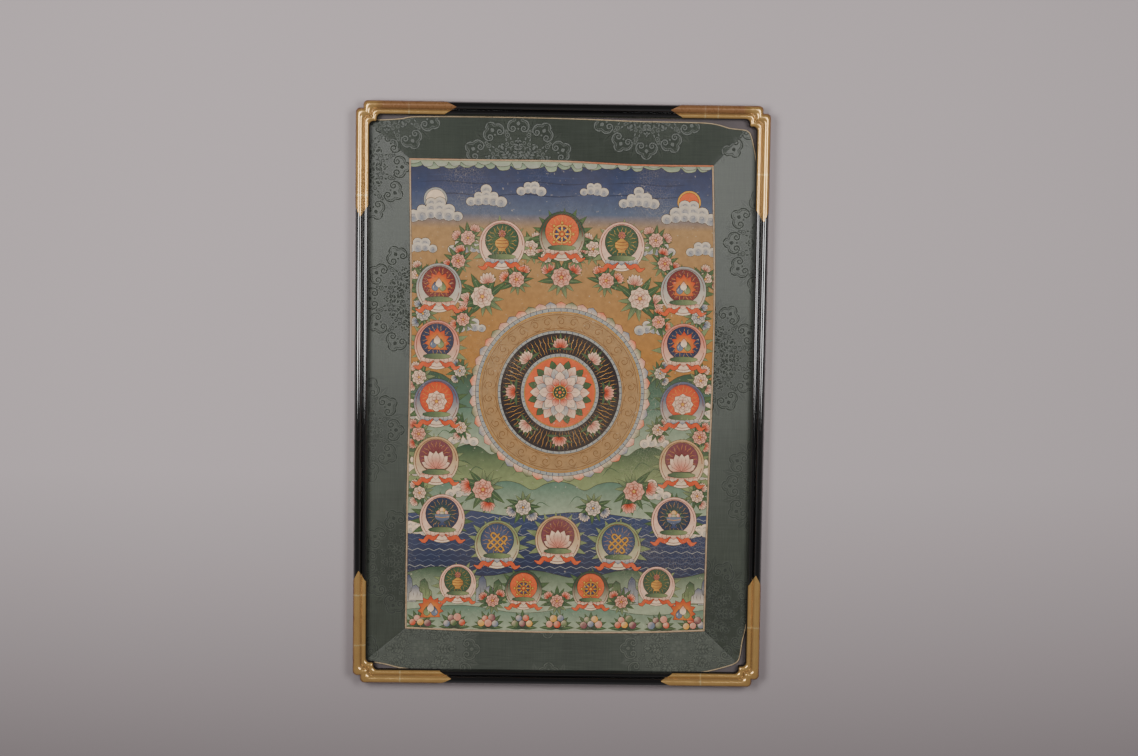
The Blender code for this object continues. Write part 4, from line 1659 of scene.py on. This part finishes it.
def curve_through(table: Sequence[Pair], stations: int) -> Points:
    """Points on a smooth line through a table of points, closer together near its ends."""
    knots = np.array(table)
    along = np.concatenate(([0.0], np.cumsum(np.linalg.norm(np.diff(knots, axis=0), axis=1))))
    low = np.maximum(np.arange(len(knots)) - 1, 0)
    high = np.minimum(np.arange(len(knots)) + 1, len(knots) - 1)
    slopes = (knots[high] - knots[low]) / (along[high] - along[low])[:, None]
    share = np.arange(stations + 1) / stations
    at = along[-1] * (share - 0.5 * np.sin(math.tau * share) / math.tau)
    n = np.clip(np.searchsorted(along, at, side="right") - 1, 0, len(along) - 2)
    span = (along[n + 1] - along[n])[:, None]
    t = (at - along[n])[:, None] / span
    rise = t * t * (3 - 2 * t)
    bow = slopes[n] * (span * t * (1 - t) ** 2) - slopes[n + 1] * (span * t * t * (1 - t))
    return knots[n] * (1 - rise) + knots[n + 1] * rise + bow


def inset(loop: Points, distance: float) -> Points:
    """A clockwise loop moved inwards by a distance, its corners kept."""
    before = loop - np.roll(loop, 1, axis=0)
    before /= np.linalg.norm(before, axis=1, keepdims=True)
    after = np.roll(before, -1, axis=0)
    first = np.column_stack((before[:, 1], -before[:, 0]))
    second = np.column_stack((after[:, 1], -after[:, 0]))
    return loop + (first + second) / (1 + np.sum(first * second, axis=1, keepdims=True)) * distance


def edge_distance(points: Points, outline: Points) -> Points:
    """Distance from each point to an outline."""
    nearest = np.full(len(points), np.inf)
    for start, end in zip(outline, np.roll(outline, -1, axis=0)):
        along = end - start
        share = np.clip((points - start) @ along / (along @ along), 0.0, 1.0)
        nearest = np.minimum(nearest, np.linalg.norm(points - start - share[:, None] * along, axis=1))
    return nearest


@dataclass
class Sheet:
    """One sheet of cloth, meshed along the edges of what is drawn on it."""

    name: str
    outline: Points
    patches: list[Patch]
    ground: Any
    attribute: str
    thickness: float
    material: Material
    lie: Lie = Lie()
    spacing: float = 0.011
    rolled: float = 0.0012
    roll_share: float = 0.35
    tolerance: float = 0.15
    longest: float = 12.0
    merged: float = 1e-5

    def points(self) -> list[Vector]:
        """Free points that let the sheet follow its ripple and its rolled edge, in millimetres."""
        low, high = self.outline.min(axis=0), self.outline.max(axis=0)
        xs = np.arange(low[0] + self.spacing / 2, high[0], self.spacing)
        ys = np.arange(low[1] + self.spacing / 2, high[1], self.spacing)
        grid = np.array([(x, y) for x in xs for y in ys])
        loop = anticlockwise(self.outline)
        near = [grown(loop, -self.rolled * share) for share in (0.25, 0.6, 1.0)]
        return [Vector(p) for p in np.vstack((grid, *near)) / MILLIMETRE]

    def overlay(self) -> tuple[Points, Edges]:
        """Overlays the patches and keeps only the edges that show.

        Returns:
            Plan points in millimetres, and for each edge that shows the patches on its left and
            on its right: numbers from 1 up, 0 for the ground and -1 outside the sheet.
        """
        low, high = self.outline.min(axis=0) / MILLIMETRE, self.outline.max(axis=0) / MILLIMETRE
        self.patches = [
            patch
            for patch in self.patches
            if np.all(patch.outline.max(axis=0) > low) and np.all(patch.outline.min(axis=0) < high)
        ]
        verts: list[Vector] = []
        faces: list[list[int]] = []
        for outline in (anticlockwise(self.outline) / MILLIMETRE, *(patch.outline for patch in self.patches)):
            faces.append(list(range(len(verts), len(verts) + len(outline))))
            verts.extend(Vector(p) for p in outline)
        plan, _, cut, _, _, sources = delaunay_2d_cdt(verts, [], faces, 1, self.merged, True)
        sides: dict[tuple[int, int], int] = {}
        for corners, source in zip(cut, sources):
            if 0 in source:
                top = max(source)
                for k, first in enumerate(corners):
                    sides[(first, corners[k - 1])] = top
        edges = {}
        for (second, first), left in sides.items():
            right = sides.get((first, second), -1)
            if left != right and (second, first) not in edges:
                edges[(first, second)] = (left, right)
        return np.array(plan), edges

    def thinned(self, plan: Points, edges: Edges) -> Edges:
        """Leaves out points that hardly bend an edge between the same two patches.

        Args:
            plan: plan points in millimetres.
            edges: the edges that show, as from overlay().

        Returns:
            The edges that are left.
        """
        ahead: dict[int, list[int]] = {}
        behind: dict[int, list[int]] = {}
        for first, second in edges:
            ahead.setdefault(first, []).append(second)
            behind.setdefault(second, []).append(first)
        for middle in list(ahead):
            if len(ahead[middle]) != 1 or len(behind.get(middle, ())) != 1:
                continue
            first, second = behind[middle][0], ahead[middle][0]
            if first == second or edges[(first, middle)] != edges[(middle, second)]:
                continue
            if (first, second) in edges or (second, first) in edges:
                continue
            chord = plan[second] - plan[first]
            length = float(np.hypot(*chord))
            off = plan[middle] - plan[first]
            if length > self.longest or abs(chord[0] * off[1] - chord[1] * off[0]) > self.tolerance * length:
                continue
            edges[(first, second)] = edges.pop((first, middle))
            del edges[(middle, second)]
            ahead[first][ahead[first].index(middle)] = second
            behind[second][behind[second].index(middle)] = first
            del ahead[middle], behind[middle]
        return edges

    def triangles(self) -> tuple[Points, Points, Points]:
        """Cuts the sheet into triangles that keep every edge that shows.

        Returns:
            Plan points in millimetres, triangles, and each triangle's uppermost patch from 1 up,
            or 0 where only the ground shows.
        """
        overlaid, edges = self.overlay()
        edges = self.thinned(overlaid, edges)
        ends = list(edges)
        used, renumbered = np.unique(np.array(ends), return_inverse=True)
        verts = [Vector(p) for p in overlaid[used]] + self.points()
        kept = [tuple(pair) for pair in renumbered.reshape(-1, 2).tolist()]
        plan, lines, cut, _, origins, _ = delaunay_2d_cdt(verts, kept, [], 0, self.merged, True)
        spots = np.array(plan)
        tops: dict[tuple[int, int], int] = {}
        for (first, second), origin in zip(lines, origins):
            if origin:
                start, end = overlaid[ends[origin[0]][0]], overlaid[ends[origin[0]][1]]
                left, right = edges[ends[origin[0]]]
                if (spots[second] - spots[first]) @ (end - start) < 0:
                    left, right = right, left
                tops[(first, second)], tops[(second, first)] = left, right
        sharing: dict[tuple[int, int], int] = {}
        owners = [-2] * len(cut)
        for number, corners in enumerate(cut):
            for k, second in enumerate(corners):
                sharing[(corners[k - 1], second)] = number
                owners[number] = tops.get((corners[k - 1], second), owners[number])
        queue = [number for number, owner in enumerate(owners) if owner != -2]
        while queue:
            number = queue.pop()
            for k, second in enumerate(cut[number]):
                first = cut[number][k - 1]
                other = sharing.get((second, first))
                if other is not None and owners[other] == -2 and (first, second) not in tops:
                    owners[other] = owners[number]
                    queue.append(other)
        inside = [number for number, owner in enumerate(owners) if owner >= 0]
        return spots, np.array([cut[k] for k in inside]), np.array([owners[k] for k in inside])

    def border(self, triangles: Points) -> list[int]:
        """The sheet's outermost points in order, anticlockwise."""
        edges = np.vstack((triangles[:, (0, 1)], triangles[:, (1, 2)], triangles[:, (2, 0)]))
        inner = {(b, a) for a, b in edges.tolist()}
        following = {a: b for a, b in edges.tolist() if (a, b) not in inner}
        start = next(iter(following))
        line = [start]
        while following[line[-1]] != start:
            line.append(following[line[-1]])
        return line

    def colours(self, plan: Points, triangles: Points, tops: Points) -> Points:
        """The tint at each corner of each triangle, four numbers a corner."""
        corners = plan[triangles.ravel()]
        owners = np.repeat(tops, 3)
        order = np.argsort(owners, kind="stable")
        starts = np.flatnonzero(np.diff(owners[order], prepend=-1))
        shades = np.empty((len(corners), 4), np.float32)
        for begin, end in zip(starts, [*starts[1:], len(order)]):
            members = order[begin:end]
            owner = owners[members[0]]
            tint = self.patches[owner - 1].tint if owner else self.ground
            shades[members] = tint.at(corners[members])
        return shades

    def build(self) -> bpy.types.Object:
        """Makes the sheet: drawn face, thin edge and plain underside."""
        plan, triangles, tops = self.triangles()
        used, renumbered = np.unique(triangles, return_inverse=True)
        triangles = renumbered.reshape(-1, 3)
        plan = plan[used]
        ends = self.border(triangles)
        metres = plan * MILLIMETRE
        under = self.lie.under(metres)
        reach = np.clip(edge_distance(metres, self.outline) / self.rolled, 0.0, 1.0)
        top = under + self.thickness * (1.0 - self.roll_share * (1.0 - reach) ** 2)
        upper = np.column_stack((metres, top))
        lower = np.column_stack((metres[ends], under[ends]))
        count, rim = len(upper), len(ends)
        faces = triangles.tolist()
        for k in range(rim):
            after = (k + 1) % rim
            faces.append([ends[k], count + k, count + after, ends[after]])
        faces.append([count + k for k in range(rim)][::-1])
        mesh = bpy.data.meshes.new(self.name)
        mesh.from_pydata(np.vstack((upper, lower)).tolist(), [], faces)
        self.dress(mesh, plan, triangles, tops, rim)
        mesh.shade_smooth()
        mesh.set_sharp_from_angle(angle=SHEET_CREASE)
        return link(self.name, mesh, (self.material,))

    def dress(self, mesh: bpy.types.Mesh, plan: Points, triangles: Points, tops: Points, rim: int) -> None:
        """Gives the mesh its colours and a flat map for its textures.

        Args:
            mesh: the sheet's mesh.
            plan: plan points in millimetres.
            triangles: of the drawn face.
            tops: the uppermost patch of each.
            rim: number of points round the edge.
        """
        shades = self.colours(plan, triangles, tops)
        colours = mesh.color_attributes.new(self.attribute, "FLOAT_COLOR", "CORNER")
        plain = np.tile(self.ground.at(plan[:1])[0], (len(mesh.loops) - len(shades), 1))
        colours.data.foreach_set("color", np.vstack((shades, plain)).astype(np.float32).ravel())
        where = np.empty(len(mesh.vertices) * 3)
        mesh.vertices.foreach_get("co", where)
        corner = np.empty(len(mesh.loops), int)
        mesh.loops.foreach_get("vertex_index", corner)
        spots = where.reshape(-1, 3)[corner][:, :2]
        low = self.outline.min(axis=0)
        span = float(np.max(self.outline.max(axis=0) - low))
        # the drawn face fills the map; the back and the edge, made smaller, lie beside it
        margin, shrunk, back_at, edge_at, slender = 0.002, 0.3, 0.68, 0.32, 0.8
        flat = margin + (spots - low) * ((1 - 2 * margin) / span)
        slim = float((self.outline.max(axis=0) - low)[0]) < span * slender
        face = len(shades)
        back = flat[face:] * shrunk
        flat[face:] = back + ((back_at, 0.0) if slim else (0.0, back_at))
        flat[face : face + 4 * rim] += (0.0, edge_at) if slim else (edge_at, 0.0)
        layer = mesh.uv_layers.new(name="OFBake")
        layer.data.foreach_set("uv", flat.astype(np.float32).ravel())


@dataclass
class Cloth:
    """The painted panel with its edging, damask mount and binding."""

    lie: Lie = Lie()
    gap: float = 0.0003
    mitre_gap: float = 0.00012
    canvas_thickness: float = 0.001
    mount_thickness: float = 0.0012
    trim_thickness: float = 0.0016
    edging_width: float = 0.0024
    binding_width: float = 0.0015
    stations: int = 68
    trim_rows: int = 8
    trim_edge: float = 0.45
    # the next three tables have a row for each side, clockwise from the top
    painting_edge: Rows = (
        ((-0.225, 0.347), (-0.119, 0.347), (-0.006, 0.347), (0.108, 0.343), (0.221, 0.343)),
        ((0.221, 0.343), (0.227, 0.146), (0.226, -0.005), (0.223, -0.151), (0.221, -0.349)),
        ((0.221, -0.349), (0.125, -0.353), (0.0, -0.354), (-0.119, -0.353), (-0.226, -0.35)),
        ((-0.226, -0.35), (-0.225, -0.157), (-0.223, -0.011), (-0.222, 0.14), (-0.225, 0.347)),
    )
    cloth_edge: Rows = (
        (
            (-0.287, 0.402), (-0.262, 0.403), (-0.236, 0.405), (-0.225, 0.4075), (-0.2, 0.4085),
            (-0.121, 0.4092), (-0.045, 0.409), (0.031, 0.408), (0.107, 0.406), (0.186, 0.4055),
            (0.215, 0.4045), (0.231, 0.4015), (0.243, 0.398), (0.262, 0.396), (0.2685, 0.395),
        ),
        (
            (0.2685, 0.395), (0.2725, 0.3925), (0.2755, 0.387), (0.279, 0.374), (0.282, 0.361),
            (0.285, 0.335), (0.287, 0.25), (0.287, 0.0), (0.287, -0.25), (0.2855, -0.32),
            (0.282, -0.347), (0.278, -0.364), (0.2755, -0.383), (0.2737, -0.391), (0.2705, -0.396),
        ),
        (
            (0.2705, -0.396), (0.264, -0.3995), (0.247, -0.405), (0.222, -0.411), (0.19, -0.4135),
            (0.0, -0.4145), (-0.19, -0.4135), (-0.233, -0.41), (-0.254, -0.405), (-0.272, -0.402),
            (-0.286, -0.4),
        ),
        (
            (-0.286, -0.4), (-0.2875, -0.2), (-0.288, 0.0), (-0.2875, 0.2), (-0.287, 0.402),
        ),
    )
    medallions: Rows = (
        ((-66, 324), (122, 438), (-258, 438), (310, 324)),
        ((325, 230), (212, 60), (330, -130), (212, 432), (212, -322)),
        ((-202, -380), (183, -376), (-13, -274), (-11, -487)),
        ((-317, -53), (-311, 334), (-206, 141), (-206, -250), (-317, -440)),
    )

    def loop(self, table: Rows) -> Points:
        """The four sides of an edge table as one clockwise loop."""
        return np.vstack([curve_through(line, self.stations)[:-1] for line in table])

    def side_of(self, loop: Points, side: Side, trim: float) -> Points:
        """One side of a loop, corner to corner, cut back a little at both its ends."""
        start = side.order * self.stations
        line = loop[(start + np.arange(self.stations + 1)) % len(loop)].copy()
        for end, beside in ((0, 1), (-1, -2)):
            towards = line[beside] - line[end]
            line[end] += towards / np.linalg.norm(towards) * trim
        return line

    def painting(self) -> Piece:
        """Makes the painted panel."""
        outline = inset(self.loop(self.painting_edge), self.edging_width + self.gap)
        patches = PaintedPanel().compose()
        sheet = Sheet(
            name="painted_panel",
            outline=outline,
            patches=patches,
            ground=Hue.TAN,
            attribute="pigment",
            thickness=self.canvas_thickness,
            material=Distemper().material(),
            roll_share=0.25,
        )
        item = sheet.build()
        return Piece(item, ("painting_canvas",), "painted_cotton")

    def strip(
        self, kind: str, side: Side, inner: Points, outer: Points, material: Material
    ) -> Piece:
        """Makes one narrow strip with a rounded face.

        Args:
            kind: edging or binding.
            side: where it lies.
            inner: the clockwise loop of its inner edge.
            outer: that of its outer edge.
            material: its finish.

        Returns:
            The strip.
        """
        near = self.side_of(inner, side, self.mitre_gap)
        far = self.side_of(outer, side, self.mitre_gap)
        upper, lower = [], []
        for k in range(self.trim_rows + 1):
            share = 0.5 - 0.5 * math.cos(math.pi * k / self.trim_rows)
            line = near * (1 - share) + far * share
            under = self.lie.under(line)
            rise = math.sqrt(max(1 - (2 * share - 1) ** 2, 0.0))
            crown = self.trim_thickness * (self.trim_edge + (1 - self.trim_edge) * rise)
            upper.append(np.column_stack((line, under + crown)).tolist())
            lower.append(np.column_stack((line, under)).tolist())
        item = plate(f"{kind}_strip_{side.value}", upper, lower, (material,))
        return Piece(item, (f"{kind}_{side.value}",), "edging_silk" if kind == "edging" else "binding")

    def mount(self, side: Side, inner: Points, outer: Points) -> tuple[Piece, Points]:
        """Makes one strip of the damask mount.

        Args:
            side: where it lies.
            inner: the clockwise loop of its inner edge.
            outer: that of its outer edge.

        Returns:
            The strip and its outline.
        """
        near = self.side_of(inner, side, self.mitre_gap)
        far = self.side_of(outer, side, self.mitre_gap)
        outline = np.vstack((near, far[::-1]))
        cloth = MedallionCloth()
        for x, y in self.medallions[side.order]:
            cloth.medallion(Place(x, y, 0.0 if side.upright else 90.0))
        # each strip of the one cloth has its own ground, figure and relief colours as painted sheen: on the
        # upright strips the figure is darker than the ground, on the top and bottom lighter, and the top
        # strip is darker than the bottom
        upright = ((0.048, 0.054, 0.042), (0.025, 0.029, 0.022), (0.066, 0.073, 0.058))
        threads = {
            Side.LEFT: upright,
            Side.RIGHT: upright,
            Side.TOP: ((0.036, 0.042, 0.033), (0.05, 0.056, 0.045), (0.021, 0.026, 0.02)),
            Side.BOTTOM: ((0.053, 0.059, 0.048), (0.088, 0.094, 0.078), (0.034, 0.039, 0.031)),
        }
        lustre = 0.46 if side.upright else 0.34
        sheet = Sheet(
            name=f"damask_{side.value}",
            outline=outline,
            patches=cloth.patches,
            ground=PLAIN,
            attribute="figure",
            thickness=self.mount_thickness,
            material=Damask(f"green_damask_{side.value}", *threads[side], side.upright, lustre).material(),
            spacing=0.009,
            roll_share=0.12,
        )
        return Piece(sheet.build(), (f"mount_{side.value}",), "damask"), outline

    def build(self) -> list[Piece]:
        """Makes every piece of cloth."""
        pieces = [self.painting()]
        panel, edge = self.loop(self.painting_edge), self.loop(self.cloth_edge)
        tan, pink, orange = (0.4, 0.27, 0.15), (0.42, 0.24, 0.16), (0.46, 0.135, 0.05)
        silks = {side: Silk(f"edging_silk_{side.value}", tan, pink) for side in Side}
        silks[Side.TOP] = Silk("edging_silk_top", tan, orange, -0.02, 0.06)
        bound = Silk("bound_edge", (0.4, 0.29, 0.16), (0.46, 0.36, 0.22)).material()
        for side in Side:
            silk = silks[side].material()
            edging = self.strip("edging", side, inset(panel, self.edging_width), panel, silk)
            binding = self.strip("binding", side, inset(edge, self.binding_width), edge, bound)
            far = inset(edge, self.binding_width + self.gap)
            mount, outline = self.mount(side, inset(panel, -self.gap), far)
            pieces += [edging, mount, binding]
        return pieces


# The studio


@dataclass(frozen=True)
class Softbox:
    """One rectangular lamp, aimed at a point; the first of its sizes lies level."""

    name: str
    place: tuple[float, float, float]
    aim: tuple[float, float, float]
    size: Pair
    power: float
    colour: Colour = (1.0, 1.0, 1.0)

    def build(self) -> None:
        """Makes the lamp."""
        lamp = bpy.data.lights.new(self.name, "AREA")
        lamp.shape = "RECTANGLE"
        lamp.size, lamp.size_y = self.size
        lamp.energy = self.power
        lamp.color = self.colour
        item = bpy.data.objects.new(self.name, lamp)
        item.location = self.place
        item.rotation_euler = (Vector(self.aim) - Vector(self.place)).to_track_quat("-Z", "Y").to_euler()
        bpy.context.scene.collection.objects.link(item)


@dataclass
class Studio:
    """Camera, lamps and paper, as the photo was taken."""

    lens: float = 63.27
    eye: tuple[float, float, float] = (-0.0224, 0.2591, 2.9512)
    right: tuple[float, float, float] = (0.99984016, 0.01409663, 0.01099749)
    up: tuple[float, float, float] = (-0.01319011, 0.99682299, -0.07854898)
    floor_size: float = 9.0
    floor_level: float = -0.0004
    dark: Colour = (0.066, 0.064, 0.066)
    bounce: Colour = (0.19, 0.185, 0.19)
    bounce_until: float = -0.8
    dark_from: float = -0.05
    side_until: float = 0.97
    side_from: float = 0.55
    softboxes: tuple[Softbox, ...] = (
        Softbox("softbox_left", (-1.12, 0.47, 2.0), (0.0, 0.16, 0.0), (1.34, 0.8), 41.0),
        Softbox("softbox_right", (1.12, 0.47, 2.0), (0.0, 0.16, 0.0), (1.34, 0.8), 36.0),
    )

    def camera(self) -> None:
        """Makes the camera."""
        lens = bpy.data.cameras.new("camera")
        lens.sensor_fit = "HORIZONTAL"
        lens.sensor_width = 36.0
        lens.lens = self.lens
        lens.clip_start = 0.01
        item = bpy.data.objects.new("camera", lens)
        right, up = Vector(self.right).normalized(), Vector(self.up).normalized()
        turned = Matrix((right, up, right.cross(up))).transposed().to_4x4()
        item.matrix_world = Matrix.Translation(self.eye) @ turned
        bpy.context.scene.collection.objects.link(item)
        bpy.context.scene.camera = item

    def paper(self) -> None:
        """Makes the floor."""
        bm = bmesh.new()
        bmesh.ops.create_grid(bm, x_segments=2, y_segments=2, size=self.floor_size / 2)
        bmesh.ops.translate(bm, verts=bm.verts[:], vec=(0.0, 0.0, self.floor_level))
        mesh = bpy.data.meshes.new("studio_floor")
        bm.to_mesh(mesh)
        bm.free()
        link("studio_floor", mesh, (StudioPaper().material(),))

    def surroundings(self) -> None:
        """A dark room with light thrown back from the picture's foot and sides."""
        world = bpy.data.worlds.new("studio_light")
        world.use_nodes = True
        tree = world.node_tree
        kinds = ("TexCoord", "SeparateXYZ", "ValToRGB", "Math", "Math")
        seen, split, ramp, darkest, size = (tree.nodes.new("ShaderNode" + kind) for kind in kinds)
        darkest.operation, size.operation = "MINIMUM", "ABSOLUTE"
        for element, colour in zip(ramp.color_ramp.elements, (self.bounce, self.dark)):
            element.color = (*colour, 1.0)
        tree.links.new(seen.outputs["Generated"], split.inputs[0])
        tree.links.new(split.outputs["X"], size.inputs[0])
        spans = (
            (split.outputs["Y"], self.bounce_until, self.dark_from),
            (size.outputs[0], self.side_until, self.side_from),
        )
        for number, (source, bright, dark) in enumerate(spans):
            shift = tree.nodes.new("ShaderNodeMapRange")
            shift.inputs[1].default_value = bright
            shift.inputs[2].default_value = dark
            tree.links.new(source, shift.inputs[0])
            tree.links.new(shift.outputs[0], darkest.inputs[number])
        tree.links.new(darkest.outputs[0], ramp.inputs[0])
        tree.links.new(ramp.outputs[0], tree.nodes["Background"].inputs["Color"])
        bpy.context.scene.world = world

    def build(self) -> None:
        """Sets up the studio."""
        self.camera()
        self.paper()
        self.surroundings()
        for softbox in self.softboxes:
            softbox.build()
            LOG.info("%s: %.0f W", softbox.name, softbox.power)


def main() -> None:
    """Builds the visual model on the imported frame."""
    logging.basicConfig(level=logging.INFO, format="%(name)s %(message)s")
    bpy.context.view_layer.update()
    Studio().build()
    LOG.info("packed model: %d nodes", len(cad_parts))
    for piece in Frame().build():
        piece.settle()
    for piece in Cloth().build():
        piece.settle()
    board = bpy.data.objects["backing_board"]
    board.data.materials.clear()
    board.data.materials.append(Board().material())
    LOG.info("backing_board: kept, with its own finish")


if __name__ == "__main__":
    main()
